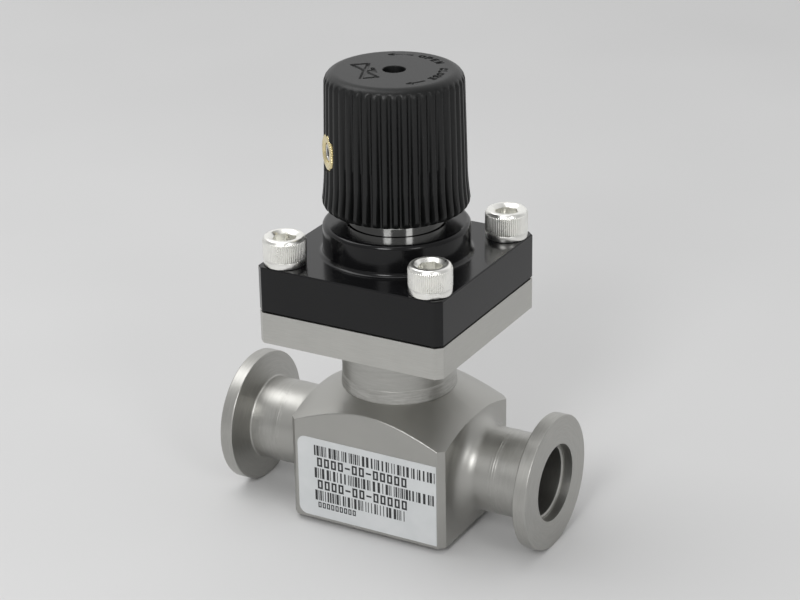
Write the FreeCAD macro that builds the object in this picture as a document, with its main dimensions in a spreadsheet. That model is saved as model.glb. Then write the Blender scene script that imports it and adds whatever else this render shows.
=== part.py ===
import FreeCAD, Part
import math
import os
import Sketcher
from FreeCAD import Placement, Rotation, Vector

# A compact in-line vacuum shut-off valve with two clamp-flange ports.
# A turned knob drives a stem and poppet up and down, and a bellows seals the stem.
# Millimetres. +X runs along the ports, +Z up. The origin is the middle of the object's
# footprint, at the height of its lowest point, the bottom of the port rims.

doc = FreeCAD.newDocument("bellows_valve")
sheet = doc.addObject("Spreadsheet::Sheet", "Sheet")

# Heights are measured from the port axis unless their name or note says otherwise.
SIZES = [
    # Ports: small clamp flanges on 3/4 inch tube
    ("port_axis_height", 15.0, "port axis above the lowest point"),
    ("port_face_reach", 38.1, "port face from the middle, 3 inches overall"),
    ("port_rim_radius", 15.0, "flange rim"),
    ("port_rim_width", 3.0, "straight part of the rim"),
    ("port_taper_reach", 33.6, "where the 15 degree back taper would meet the tube"),
    ("port_tube_radius", 9.42, "outside of the tube"),
    ("port_bore_radius", 7.85, "inside of the tube"),
    ("port_seat_radius", 8.6, "recess for a centring ring"),
    ("port_seat_depth", 2.05, "depth of that recess"),
    ("port_seat_land", 0.45, "flat shoulder at the foot of the recess"),
    ("port_bevel", 0.3, "bevel between the shoulder and the bore"),
    ("port_taper_fillet", 0.4, "fillet where the taper meets the tube"),
    ("port_edge_round", 0.25, "rounding of the rim's edges"),
    ("port_joint_reach", 27.0, "butt joint between the block's spigot and the stub"),
    ("port_weld_width", 1.8, "width of the weld on that joint"),
    ("port_weld_proud", 0.05, "how far that weld stands proud, ground nearly flush"),
    ("port_weld_crown", 0.4, "flat part of its crown, as a share of its width"),
    # Block
    ("block_half_length", 19.05, "half length along the ports"),
    ("block_half_width", 15.9, "half width across the ports"),
    ("block_depth", 14.0, "bottom face below the port axis"),
    ("block_corner", 1.4, "chamfer leg on the upright corners"),
    ("block_edge", 0.35, "chamfer round the bottom face"),
    ("block_edge_round", 0.3, "rounding of its upright edges and of the cone's edge on the long sides"),
    ("block_boss_top", 17.6, "top of the boss that the neck is welded to"),
    ("cone_top", 16.17, "turned cone where it meets the boss"),
    ("cone_foot", 9.47, "turned cone at its outer radius"),
    ("cone_foot_radius", 24.1, "outer radius of the turned cone"),
    ("hub_flare", 4.0, "radius of the flare at the root of each port"),
    ("inlet_end", 5.0, "blind end of the left bore, past the middle"),
    ("outlet_end", 7.2, "blind end of the right bore"),
    ("seat_bore_radius", 5.0, "hole that the poppet closes"),
    ("seat_lip_radius", 6.6, "outside of the raised lip round that hole"),
    ("seat_lip_top", 12.0, "top of the lip"),
    ("chamber_floor", 10.4, "floor of the chamber round the lip"),
    ("chamber_radius", 11.0, "chamber wall, and the inside of the neck"),
    ("passage_inner", 7.3, "inner radius of the passage down to the right bore"),
    ("passage_outer", 10.7, "outer radius of that passage"),
    ("passage_spread", 48.0, "degrees round the middle that it spans"),
    # Neck
    ("neck_radius", 12.5, "outside of the neck tube"),
    ("neck_top", 32.0, "top of the neck tube, inside the flange"),
    ("neck_weld_foot", 16.2, "lower edge of the neck weld"),
    ("neck_weld_top", 19.7, "upper edge of the neck weld"),
    ("neck_weld_slope", 0.35, "height of the weld's rounded edges"),
    ("neck_weld_proud", 0.3, "how far the weld stands proud"),
    # Square flange on top of the neck; heights below are inside the flange
    ("flange_foot", 30.0, "underside of the flange"),
    ("flange_height", 7.0, "thickness of the flange"),
    ("plate_half", 22.14, "half side of both square plates"),
    ("plate_corner", 1.375, "chamfer leg on their upright corners"),
    ("flange_recess_floor", 5.0, "floor of the recess for the bellows flange"),
    ("flange_recess_radius", 15.2, "wall of that recess"),
    ("seal_groove_floor", 3.6, "floor of the seal's groove"),
    ("seal_groove_inner", 12.2, "inner wall of the seal's groove"),
    ("seal_groove_outer", 14.4, "outer wall of the seal's groove"),
    ("seal_section", 0.69, "section radius of the bonnet seal, squeezed flat"),
    # Bonnet; heights inside it are measured from its underside
    ("bonnet_height", 10.37, "thickness of the square part"),
    ("bonnet_top_edge", 0.25, "chamfer round the top"),
    ("bonnet_foot_edge", 0.45, "chamfer round the underside"),
    ("boss_radius", 15.92, "round boss on the bonnet"),
    ("boss_top", 17.24, "top of that boss"),
    ("boss_round", 1.0, "roundings at the boss's root and top edge"),
    ("cavity_radius", 13.3, "cavity that holds the drive"),
    ("cavity_top", 14.24, "shoulder that takes the closing thrust"),
    ("ring_groove_foot", 7.65, "lower wall of the retaining ring's groove"),
    ("ring_groove_top", 8.9, "upper wall of that groove"),
    ("ring_groove_radius", 14.1, "floor of that groove"),
    ("collar_bore_radius", 10.6, "running hole for the drive barrel"),
    ("collar_relief_radius", 10.9, "relief round the barrel at the top of that hole"),
    ("collar_relief_depth", 0.9, "depth of the relief"),
    # Cap screws, 1/4 inch
    ("screw_offset", 17.46, "screw axis from the middle, in X and in Y"),
    ("screw_clearance_radius", 3.4, "clearance holes in the bonnet"),
    ("screw_tapped_radius", 3.175, "tapped holes in the flange, at the thread's crest"),
    ("screw_shank_radius", 3.17, "shank, at the thread's crest"),
    ("screw_shank_length", 15.875, "length under the head, 5/8 inch"),
    ("screw_head_radius", 4.68, "head"),
    ("screw_head_height", 6.35, "head"),
    ("screw_head_edge", 0.5, "chamfer round the top of the head and the end of the shank"),
    ("screw_socket_flats", 4.76, "socket across flats, 3/16 inch"),
    ("screw_socket_depth", 3.2, "socket depth"),
    # Bellows and its flange
    ("bellows_flange_radius", 15.0, "clamped disc"),
    ("bellows_flange_foot", 33.0, "underside of its lower hub"),
    ("bellows_hub_radius", 7.6, "lower hub, which the bellows is welded to"),
    ("guide_hub_radius", 8.0, "upper hub, round the guide bush"),
    ("guide_hub_top", 40.0, "top of the upper hub and of the bush"),
    ("bush_radius", 5.6, "outside of the guide bush"),
    ("bellows_inner_radius", 6.4, "inside of the convolutions"),
    ("bellows_outer_radius", 9.4, "outside of the convolutions"),
    ("bellows_wall", 0.3, "radial thickness of a convolution's wall"),
    ("bellows_folds", 10, "number of convolutions"),
    # Poppet and its seal
    ("poppet_foot", 12.43, "underside of the poppet when shut"),
    ("poppet_disc_top", 15.6, "top of its disc, which the bellows is welded to"),
    ("poppet_radius", 8.2, "disc"),
    ("poppet_hub_radius", 5.2, "hub that holds the stem"),
    ("poppet_hub_top", 19.0, "top of that hub"),
    ("poppet_socket_floor", 14.5, "floor of the stem's socket"),
    ("ring_centre_radius", 5.8, "middle of the seat ring's section"),
    ("ring_section", 0.89, "section radius of the seat ring"),
    ("ring_height", 12.97, "middle of the seat ring when shut"),
    ("ring_slot_inner", 4.85, "inner wall of its groove"),
    ("ring_slot_outer", 6.75, "outer wall of its groove"),
    ("ring_slot_floor", 13.88, "floor of its groove"),
    # Stem
    ("stem_radius", 4.0, "stem, and the crest of its thread"),
    ("stem_spigot_radius", 3.0, "lower end, held in the poppet"),
    ("stem_flats", 6.4, "across the two flats that stop it turning"),
    ("stem_thread_foot", 46.0, "where the flats end and the thread starts"),
    ("stem_top", 66.0, "top of the stem when shut"),
    ("stem_tip_chamfer", 0.6, "chamfer on its top"),
    ("stem_play", 0.05, "running clearance between the stem and the bush"),
    ("thread_play", 0.06, "clearance between the thread crests"),
    # Drive
    ("nut_foot", 43.0, "underside of the drive nut"),
    ("nut_flange_top", 44.0, "top of its flange"),
    ("nut_flange_radius", 7.3, "flange"),
    ("nut_radius", 6.5, "body, pressed into the barrel"),
    ("nut_top", 58.0, "top of the nut"),
    ("barrel_hub_radius", 7.5, "lower end of the barrel"),
    ("barrel_flange_foot", 46.79, "underside of the barrel's thrust flange"),
    ("barrel_flange_top", 50.19, "top of that flange"),
    ("barrel_flange_radius", 12.9, "thrust flange"),
    ("barrel_radius", 10.55, "polished barrel inside the knob"),
    ("barrel_top", 80.0, "top of the barrel"),
    ("barrel_chamfer", 0.6, "chamfer on its top"),
    ("barrel_bore_radius", 4.6, "room for the stem above the nut"),
    ("washer_thrust_foot", 50.24, "underside of the thrust washer"),
    ("washer_thrust_height", 1.0, "thickness"),
    ("washer_thrust_inner", 10.85, "hole"),
    ("washer_radius", 13.1, "outside of both washers"),
    ("washer_lower_foot", 45.94, "underside of the lower washer"),
    ("washer_lower_height", 0.8, "thickness"),
    ("washer_lower_inner", 8.0, "hole"),
    ("retainer_foot", 44.7, "underside of the retaining ring"),
    ("retainer_height", 1.1, "thickness"),
    ("retainer_inner", 11.4, "inside"),
    ("retainer_outer", 14.0, "outside"),
    ("retainer_gap", 9.0, "gap between its ends"),
    # Knob
    ("knob_foot", 57.54, "bottom of the knob"),
    ("knob_foot_round", 1.9, "rounding of the bottom edge"),
    ("knob_foot_radius", 15.8, "widest radius, just above that rounding"),
    ("knob_waist_height", 68.0, "where the skirt's flare fades out"),
    ("knob_waist_radius", 15.2, "radius there"),
    ("knob_flare_round", 62.0, "radius of the hollow curve of the flare"),
    ("knob_shoulder_radius", 14.8, "radius under the top rounding"),
    ("knob_top", 87.67, "top of the knob"),
    ("knob_top_round", 2.5, "rounding of the top edge"),
    ("knob_bore_radius", 10.6, "bore for the barrel"),
    ("knob_bore_top", 80.2, "end of that bore"),
    ("knob_mouth_radius", 12.4, "relief at the mouth"),
    ("knob_mouth_height", 2.5, "height of that relief"),
    ("knob_eye_radius", 2.45, "hole in the top"),
    ("knob_groove_count", 44, "grooves between the ribs"),
    ("knob_groove_floor", 14.3, "radius of the grooves' floor"),
    ("knob_groove_floor_half", 0.28, "half width of a groove at its floor"),
    ("knob_groove_mouth", 17.0, "radius that the groove's flanks are drawn out to"),
    ("knob_groove_mouth_half", 0.66, "half width of a groove out there"),
    # Brass insert and set screw, on an axis half way between -X and -Y
    ("insert_height", 71.0, "axis of the insert"),
    ("insert_radius", 3.9, "outside"),
    ("insert_play", 0.02, "clearance round it in the knob"),
    ("insert_foot", 10.65, "inner end, from the knob's axis"),
    ("insert_face", 15.05, "outer end, from the knob's axis"),
    ("insert_bore_radius", 2.05, "thread for the set screw"),
    ("grub_radius", 2.0, "set screw, at the thread's crest"),
    ("grub_foot", 10.58, "its inner end, from the knob's axis"),
    ("grub_face", 14.75, "its outer end, from the knob's axis"),
    ("grub_socket_flats", 2.0, "socket across flats"),
    ("grub_socket_depth", 2.2, "socket depth"),
    # Name plate on the -Y face of the block
    ("label_left", 17.0, "left edge, from the middle"),
    ("label_right", 17.5, "right edge, from the middle"),
    ("label_drop", 13.0, "lower edge below the port axis"),
    ("label_rise", 6.2, "upper edge above the port axis"),
    ("label_corner", 2.0, "radius of its two left corners"),
    ("label_thickness", 0.12, "thickness"),
]


class Size:
    """A size in the sheet, or a sum of them: a number for drawing and the text that binds it."""

    def __init__(self, value, text):
        self.value = value
        self.text = text

    def combined(self, other, sign, value):
        text = other.text if isinstance(other, Size) else repr(other)
        return Size(value, "({} {} {})".format(self.text, sign, text))

    def __add__(self, other):
        return self.combined(other, "+", self.value + number(other))

    def __sub__(self, other):
        return self.combined(other, "-", self.value - number(other))

    def __mul__(self, other):
        return self.combined(other, "*", self.value * number(other))

    def __truediv__(self, other):
        return self.combined(other, "/", self.value / number(other))

    def __neg__(self):
        return Size(-self.value, "(-{})".format(self.text))


def number(value):
    return value.value if isinstance(value, Size) else value


class Dimensions:
    """Every alias of the sheet as an attribute."""


dim = Dimensions()
for row, (alias, value, note) in enumerate(SIZES, start=1):
    sheet.set("A{}".format(row), alias)
    sheet.set("B{}".format(row), str(value))
    sheet.set("C{}".format(row), note)
    sheet.setAlias("B{}".format(row), alias)
    setattr(dim, alias, Size(float(value), "Sheet." + alias))
doc.recompute()

ZERO = Size(0.0, "0")
BEYOND = 1.0          # how far a cutting outline runs past the face that it opens
SQRT_THREE = 1.7320508
NEAR = 0.01           # how close a point has to be to count as lying on a plane or a circle
subparts = []


def bind(target, **sizes):
    """Bind properties to the sheet. A dot in a property's name is written as two underscores."""
    for name, size in sizes.items():
        target.setExpression(name.replace("__", "."), size.text)


def at_height(target, height):
    """Place a sub-part so that its own zero lies at this height above the port axis."""
    target.setExpression("Placement.Base.z", (dim.port_axis_height + height).text)


def keep(target, label):
    """Give a finished sub-part the name of its node and put it on the list."""
    target.Label = label
    subparts.append(target)
    return target


# ---------------------------------------------------------------- sketches and features


def new_body(name):
    return doc.addObject("PartDesign::Body", name)


def origin_part(body, role):
    return next(part for part in body.Origin.OriginFeatures if part.Role == role)


def new_sketch(body, plane, name):
    sketch = body.newObject("Sketcher::SketchObject", name)
    sketch.AttachmentSupport = [(origin_part(body, plane), "")]
    sketch.MapMode = "FlatFace"
    return sketch


def pin_point(sketch, curve, end, x, y):
    """Fix one point of a curve by its two distances from the origin."""
    for kind, axis, place in (("DistanceX", -2, x), ("DistanceY", -1, y)):
        if abs(place.value) < 1e-9:
            sketch.addConstraint(Sketcher.Constraint("PointOnObject", curve, end, axis))
        elif place.value > 0:
            index = sketch.addConstraint(
                Sketcher.Constraint(kind, -1, 1, curve, end, place.value)
            )
            sketch.setExpression("Constraints[{}]".format(index), place.text)
        else:
            index = sketch.addConstraint(
                Sketcher.Constraint(kind, curve, end, -1, 1, -place.value)
            )
            sketch.setExpression("Constraints[{}]".format(index), (-place).text)


def arc_between(first, last, radius, turn):
    """The short arc from one point to another; turn is +1 to the left and -1 to the right."""
    chord = last - first
    half = chord.Length / 2
    left = Vector(-chord.y, chord.x, 0).normalize()
    centre = (first + last) * 0.5 + left * turn * math.sqrt(radius * radius - half * half)
    low, high = (first, last) if turn > 0 else (last, first)
    start = math.atan2(low.y - centre.y, low.x - centre.x)
    stop = math.atan2(high.y - centre.y, high.x - centre.x)
    return Part.ArcOfCircle(Part.Circle(centre, Vector(0, 0, 1), radius), start, stop)


def draw_outline(sketch, corners):
    """Draw a closed outline. A corner is (x, y), or (x, y, radius, turn) when an arc leads to it."""
    places = [Vector(corner[0].value, corner[1].value, 0) for corner in corners]
    ends = []
    for index, corner in enumerate(corners):
        before = places[index - 1]
        here = places[index]
        if len(corner) == 4:
            radius, turn = corner[2], corner[3]
            curve = sketch.addGeometry(arc_between(before, here, radius.value, turn), False)
            bound = sketch.addConstraint(Sketcher.Constraint("Radius", curve, radius.value))
            sketch.setExpression("Constraints[{}]".format(bound), radius.text)
            ends.append((curve, 1, 2) if turn > 0 else (curve, 2, 1))
        else:
            curve = sketch.addGeometry(Part.LineSegment(before, here), False)
            ends.append((curve, 1, 2))
    for index, corner in enumerate(corners):
        curve, start, stop = ends[index]
        follower = ends[(index + 1) % len(ends)]
        sketch.addConstraint(Sketcher.Constraint("Coincident", curve, stop, follower[0], follower[1]))
        pin_point(sketch, curve, stop, corner[0], corner[1])
    return sketch


def draw_circle(sketch, x, y, radius):
    centre = Vector(x.value, y.value, 0)
    circle = Part.Circle(centre, Vector(0, 0, 1), radius.value)
    curve = sketch.addGeometry(circle, False)
    bound = sketch.addConstraint(Sketcher.Constraint("Radius", curve, radius.value))
    sketch.setExpression("Constraints[{}]".format(bound), radius.text)
    pin_point(sketch, curve, 3, x, y)
    return curve


def chamfered_rectangle(half_x, half_y, leg):
    """Corners of a rectangle round the origin with its four corners cut off."""
    corners = []
    for sign_x, sign_y in ((1, -1), (1, 1), (-1, 1), (-1, -1)):
        x = half_x if sign_x > 0 else -half_x
        y = half_y if sign_y > 0 else -half_y
        inner_x = x - leg * sign_x
        inner_y = y - leg * sign_y
        pair = [(inner_x, y), (x, inner_y)]
        corners += pair if sign_x != sign_y else pair[::-1]
    return corners


def pad(body, sketch, height, name):
    feature = body.newObject("PartDesign::Pad", name)
    feature.Profile = sketch
    bind(feature, Length=height)
    return feature


def pocket_up(body, sketch, name):
    """Cut a sketch on the body's base plane upwards through everything."""
    feature = body.newObject("PartDesign::Pocket", name)
    feature.Profile = sketch
    feature.Type = "ThroughAll"
    feature.Reversed = True
    return feature


def revolve(body, sketch, axis, name, kind="Revolution"):
    feature = body.newObject("PartDesign::" + kind, name)
    feature.Profile = sketch
    feature.ReferenceAxis = (sketch, [axis])
    feature.Angle = 360.0
    return feature


def turned(name, corners, axis="V_Axis"):
    """A body that is one turned solid."""
    body = new_body(name)
    sketch = draw_outline(new_sketch(body, "XZ_Plane", name + "_outline"), corners)
    revolve(body, sketch, axis, name + "_turned")
    return body


def edges_where(feature, test):
    """Names of a feature's edges whose middle point, in its body's own frame, passes a test."""
    doc.recompute()
    names = []
    for index, edge in enumerate(feature.Shape.Edges):
        low, high = edge.ParameterRange
        if test(edge.valueAt((low + high) / 2)):
            names.append("Edge{}".format(index + 1))
    return names


def dress(body, kind, base, names, size, name):
    """Add a fillet or a chamfer to the named edges of a feature."""
    feature = body.newObject("PartDesign::" + kind, name)
    feature.Base = (base, names)
    bind(feature, **{"Radius" if kind == "Fillet" else "Size": size})
    return feature


def cylinder(name, radius, height):
    shape = doc.addObject("Part::Cylinder", name)
    bind(shape, Radius=radius, Height=height)
    return shape


def cut(name, base, tool):
    result = doc.addObject("Part::Cut", name)
    result.Base = base
    result.Tool = tool
    return result


def ring(name, outer, inner, height):
    """A flat ring from two cylinders, standing on its own zero."""
    return cut(name, cylinder(name + "_outside", outer, height), cylinder(name + "_hole", inner, height))


# ---------------------------------------------------------------- ports and block


def hub_outline(sign):
    """Half section of a port spigot and its flare, on the +X side or the -X side."""
    buried = dim.block_half_length - BEYOND
    flare_top = dim.port_tube_radius + dim.hub_flare
    flare_end = dim.block_half_length + dim.hub_flare
    corners = [
        (buried, ZERO),
        (dim.port_joint_reach, ZERO),
        (dim.port_joint_reach, dim.port_tube_radius),
        (flare_end, dim.port_tube_radius),
        (dim.block_half_length, flare_top, dim.hub_flare, -sign),
        (buried, flare_top),
    ]
    if sign > 0:
        return corners
    return [(-corner[0],) + corner[1:] for corner in corners]


def make_valve_block():
    body = new_body("block_body")
    at_height(body, ZERO)
    plan = new_sketch(body, "XY_Plane", "block_plan")
    draw_outline(
        plan, chamfered_rectangle(dim.block_half_length, dim.block_half_width, dim.block_corner)
    )
    plan.setExpression("AttachmentOffset.Base.z", (-dim.block_depth).text)
    billet = pad(body, plan, dim.block_depth + dim.block_boss_top, "block_pad")
    foot = edges_where(billet, lambda middle: abs(middle.z + dim.block_depth.value) < NEAR)
    dress(body, "Chamfer", billet, foot, dim.block_edge, "block_foot_chamfer")

    for sign, side in ((1, "right"), (-1, "left")):
        hub = new_sketch(body, "XZ_Plane", "hub_outline_" + side)
        draw_outline(hub, hub_outline(sign))
        revolve(body, hub, "H_Axis", "hub_" + side)

    cone = new_sketch(body, "XZ_Plane", "cone_outline")
    above = dim.block_boss_top + BEYOND
    draw_outline(cone, [
        (dim.neck_radius, above),
        (dim.neck_radius, dim.cone_top),
        (dim.cone_foot_radius, dim.cone_foot),
        (dim.cone_foot_radius, above),
    ])
    revolve(body, cone, "V_Axis", "cone_cut", "Groove")

    bores = new_sketch(body, "XZ_Plane", "port_bores")
    draw_outline(bores, [
        (dim.outlet_end, ZERO),
        (dim.port_joint_reach + BEYOND, ZERO),
        (dim.port_joint_reach + BEYOND, dim.port_bore_radius),
        (dim.outlet_end, dim.port_bore_radius),
    ])
    revolve(body, bores, "H_Axis", "outlet_bore", "Groove")
    inlet = new_sketch(body, "XZ_Plane", "inlet_outline")
    draw_outline(inlet, [
        (-dim.port_joint_reach - BEYOND, ZERO),
        (dim.inlet_end, ZERO),
        (dim.inlet_end, dim.port_bore_radius),
        (-dim.port_joint_reach - BEYOND, dim.port_bore_radius),
    ])
    revolve(body, inlet, "H_Axis", "inlet_bore", "Groove")

    chamber = new_sketch(body, "XZ_Plane", "chamber_outline")
    draw_outline(chamber, [
        (ZERO, ZERO),
        (dim.seat_bore_radius, ZERO),
        (dim.seat_bore_radius, dim.seat_lip_top),
        (dim.seat_lip_radius, dim.seat_lip_top),
        (dim.seat_lip_radius, dim.chamber_floor),
        (dim.chamber_radius, dim.chamber_floor),
        (dim.chamber_radius, above),
        (ZERO, above),
    ])
    revolve(body, chamber, "V_Axis", "chamber", "Groove")

    passage = new_sketch(body, "XZ_Plane", "passage_outline")
    draw_outline(passage, [
        (dim.passage_inner, ZERO),
        (dim.passage_outer, ZERO),
        (dim.passage_outer, dim.chamber_floor + BEYOND / 4),
        (dim.passage_inner, dim.chamber_floor + BEYOND / 4),
    ])
    slot = revolve(body, passage, "V_Axis", "outlet_passage", "Groove")
    slot.Midplane = True
    bind(slot, Angle=dim.passage_spread)

    upright_y = dim.block_half_width.value - dim.block_corner.value
    foot_edge = dim.block_edge.value - dim.block_depth.value

    def on_outer_edge(middle):
        on_long_side = abs(abs(middle.y) - dim.block_half_width.value) < NEAR
        on_end = abs(abs(middle.x) - dim.block_half_length.value) < NEAR
        upright = on_end and abs(abs(middle.y) - upright_y) < NEAR
        return (on_long_side or upright) and middle.z > foot_edge + NEAR

    outer = edges_where(slot, on_outer_edge)
    dress(body, "Fillet", slot, outer, dim.block_edge_round, "block_edge_rounding")
    return keep(body, "valve_block")


def make_port_stub(side, turn):
    """A clamp-flange stub, drawn on the +X side and turned round for the other."""
    inner_end = dim.port_face_reach - dim.port_seat_depth
    corners = [
        (dim.port_joint_reach, dim.port_bore_radius),
        (inner_end - dim.port_bevel, dim.port_bore_radius),
        (inner_end, dim.port_seat_radius - dim.port_seat_land),
        (inner_end, dim.port_seat_radius),
        (dim.port_face_reach, dim.port_seat_radius),
        (dim.port_face_reach, dim.port_rim_radius),
        (dim.port_face_reach - dim.port_rim_width, dim.port_rim_radius),
        (dim.port_taper_reach, dim.port_tube_radius),
        (dim.port_joint_reach, dim.port_tube_radius),
    ]
    body = turned("stub_" + side, corners, "H_Axis")
    at_height(body, ZERO)
    tube = dim.port_tube_radius.value
    rim = dim.port_rim_radius.value

    def is_ring(middle, radius, reach):
        return abs(math.hypot(middle.y, middle.z) - radius) < NEAR and abs(middle.x - reach) < NEAR

    taper = edges_where(body.Tip, lambda middle: is_ring(middle, tube, dim.port_taper_reach.value))
    softened = dress(body, "Fillet", body.Tip, taper, dim.port_taper_fillet, "taper_fillet_" + side)
    face = dim.port_face_reach.value
    back = face - dim.port_rim_width.value
    rims = edges_where(
        softened,
        lambda middle: is_ring(middle, rim, face) or is_ring(middle, rim, back),
    )
    dress(body, "Fillet", softened, rims, dim.port_edge_round, "rim_rounding_" + side)
    body.Placement.Rotation = Rotation(Vector(0, 0, 1), turn)
    return keep(body, "port_stub_" + side)


def make_port_weld(side, sign):
    """A narrow bead round the butt joint between a spigot and its stub."""
    half = dim.port_weld_width / 2
    crown = dim.port_tube_radius + dim.port_weld_proud
    middle = dim.port_joint_reach
    corners = [
        (middle - half, dim.port_tube_radius),
        (middle + half, dim.port_tube_radius),
        (middle + half * dim.port_weld_crown, crown),
        (middle - half * dim.port_weld_crown, crown),
    ]
    body = turned("weld_" + side, corners, "H_Axis")
    at_height(body, ZERO)
    body.Placement.Rotation = Rotation(Vector(0, 0, 1), 0 if sign > 0 else 180)
    return keep(body, "port_weld_" + side)


def make_label():
    """A thin plate with two rounded corners, stuck on the -Y face of the block."""
    body = new_body("label_body")
    at_height(body, ZERO)
    corner = dim.label_corner
    outline = new_sketch(body, "XZ_Plane", "label_outline")
    draw_outline(outline, [
        (-dim.label_left + corner, -dim.label_drop, corner, 1),
        (dim.label_right, -dim.label_drop),
        (dim.label_right, dim.label_rise),
        (-dim.label_left + corner, dim.label_rise),
        (-dim.label_left, dim.label_rise - corner, corner, 1),
        (-dim.label_left, -dim.label_drop + corner),
    ])
    outline.setExpression("AttachmentOffset.Base.z", dim.block_half_width.text)
    pad(body, outline, dim.label_thickness, "label_pad")
    return keep(body, "name_label")


# ---------------------------------------------------------------- neck, flange and bonnet


def make_neck():
    tube = ring("neck_ring", dim.neck_radius, dim.chamber_radius, dim.neck_top - dim.block_boss_top)
    at_height(tube, dim.block_boss_top)
    keep(tube, "neck_tube")
    crown = dim.neck_radius + dim.neck_weld_proud
    bead = turned("neck_bead", [
        (dim.neck_radius, dim.neck_weld_foot),
        (crown, dim.neck_weld_foot + dim.neck_weld_slope),
        (crown, dim.neck_weld_top - dim.neck_weld_slope),
        (dim.neck_radius, dim.neck_weld_top),
    ])
    at_height(bead, ZERO)
    return keep(bead, "neck_weld")


def square_plate(name, height):
    """The square plate with cut corners that the flange and the bonnet both start from."""
    body = new_body(name)
    plan = new_sketch(body, "XY_Plane", name + "_plan")
    draw_outline(plan, chamfered_rectangle(dim.plate_half, dim.plate_half, dim.plate_corner))
    pad(body, plan, height, name + "_pad")
    return body


def drill_corners(body, radius, name):
    """Four holes on the screws' square, through the whole body."""
    plan = new_sketch(body, "XY_Plane", name + "_plan")
    for sign_x, sign_y in ((1, 1), (-1, 1), (-1, -1), (1, -1)):
        draw_circle(plan, dim.screw_offset * sign_x, dim.screw_offset * sign_y, radius)
    return pocket_up(body, plan, name)


def make_body_flange():
    body = square_plate("flange_body", dim.flange_height)
    at_height(body, dim.flange_foot)
    socket_depth = dim.neck_top - dim.flange_foot
    recess = new_sketch(body, "XZ_Plane", "flange_recess")
    draw_outline(recess, [
        (ZERO, ZERO - BEYOND),
        (dim.neck_radius, ZERO - BEYOND),
        (dim.neck_radius, socket_depth),
        (dim.chamber_radius, socket_depth),
        (dim.chamber_radius, dim.flange_recess_floor),
        (dim.seal_groove_inner, dim.flange_recess_floor),
        (dim.seal_groove_inner, dim.seal_groove_floor),
        (dim.seal_groove_outer, dim.seal_groove_floor),
        (dim.seal_groove_outer, dim.flange_recess_floor),
        (dim.flange_recess_radius, dim.flange_recess_floor),
        (dim.flange_recess_radius, dim.flange_height + BEYOND),
        (ZERO, dim.flange_height + BEYOND),
    ])
    revolve(body, recess, "V_Axis", "flange_bore", "Groove")
    drill_corners(body, dim.screw_tapped_radius, "tapped_holes")
    return keep(body, "body_flange")


def make_bonnet_seal():
    """The ring squeezed in the flange's groove under the bellows flange."""
    seal = doc.addObject("Part::Torus", "bonnet_seal_ring")
    bind(
        seal,
        Radius1=(dim.seal_groove_inner + dim.seal_groove_outer) / 2,
        Radius2=dim.seal_section,
    )
    at_height(seal, dim.flange_foot + (dim.seal_groove_floor + dim.flange_recess_floor) / 2)
    return keep(seal, "bonnet_seal")


def make_bonnet():
    body = square_plate("bonnet_body", dim.bonnet_height)
    bonnet_foot = dim.flange_foot + dim.flange_height
    at_height(body, bonnet_foot)
    plate = body.Tip

    cut_corner_middle = dim.plate_half.value - dim.plate_corner.value / 2

    def on_outside(middle):
        return max(abs(middle.x), abs(middle.y)) > cut_corner_middle - NEAR

    low_edges = edges_where(plate, lambda middle: abs(middle.z) < NEAR and on_outside(middle))
    lower = dress(body, "Chamfer", plate, low_edges, dim.bonnet_foot_edge, "bonnet_foot_chamfer")
    top = dim.bonnet_height.value
    top_edges = edges_where(lower, lambda middle: abs(middle.z - top) < NEAR and on_outside(middle))
    dress(body, "Chamfer", lower, top_edges, dim.bonnet_top_edge, "bonnet_top_chamfer")

    boss = new_sketch(body, "XZ_Plane", "boss_outline")
    rounding = dim.boss_round
    draw_outline(boss, [
        (ZERO, dim.bonnet_height - BEYOND),
        (dim.boss_radius + rounding, dim.bonnet_height - BEYOND),
        (dim.boss_radius + rounding, dim.bonnet_height),
        (dim.boss_radius, dim.bonnet_height + rounding, rounding, -1),
        (dim.boss_radius, dim.boss_top - rounding),
        (dim.boss_radius - rounding, dim.boss_top, rounding, 1),
        (ZERO, dim.boss_top),
    ])
    revolve(body, boss, "V_Axis", "boss")

    cavity = new_sketch(body, "XZ_Plane", "cavity_outline")
    draw_outline(cavity, [
        (ZERO, ZERO - BEYOND),
        (dim.cavity_radius, ZERO - BEYOND),
        (dim.cavity_radius, dim.ring_groove_foot),
        (dim.ring_groove_radius, dim.ring_groove_foot),
        (dim.ring_groove_radius, dim.ring_groove_top),
        (dim.cavity_radius, dim.ring_groove_top),
        (dim.cavity_radius, dim.cavity_top),
        (dim.collar_bore_radius, dim.cavity_top),
        (dim.collar_bore_radius, dim.boss_top - dim.collar_relief_depth),
        (dim.collar_relief_radius, dim.boss_top - dim.collar_relief_depth),
        (dim.collar_relief_radius, dim.boss_top + BEYOND),
        (ZERO, dim.boss_top + BEYOND),
    ])
    revolve(body, cavity, "V_Axis", "cavity", "Groove")
    drill_corners(body, dim.screw_clearance_radius, "clearance_holes")
    return keep(body, "bonnet")


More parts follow.
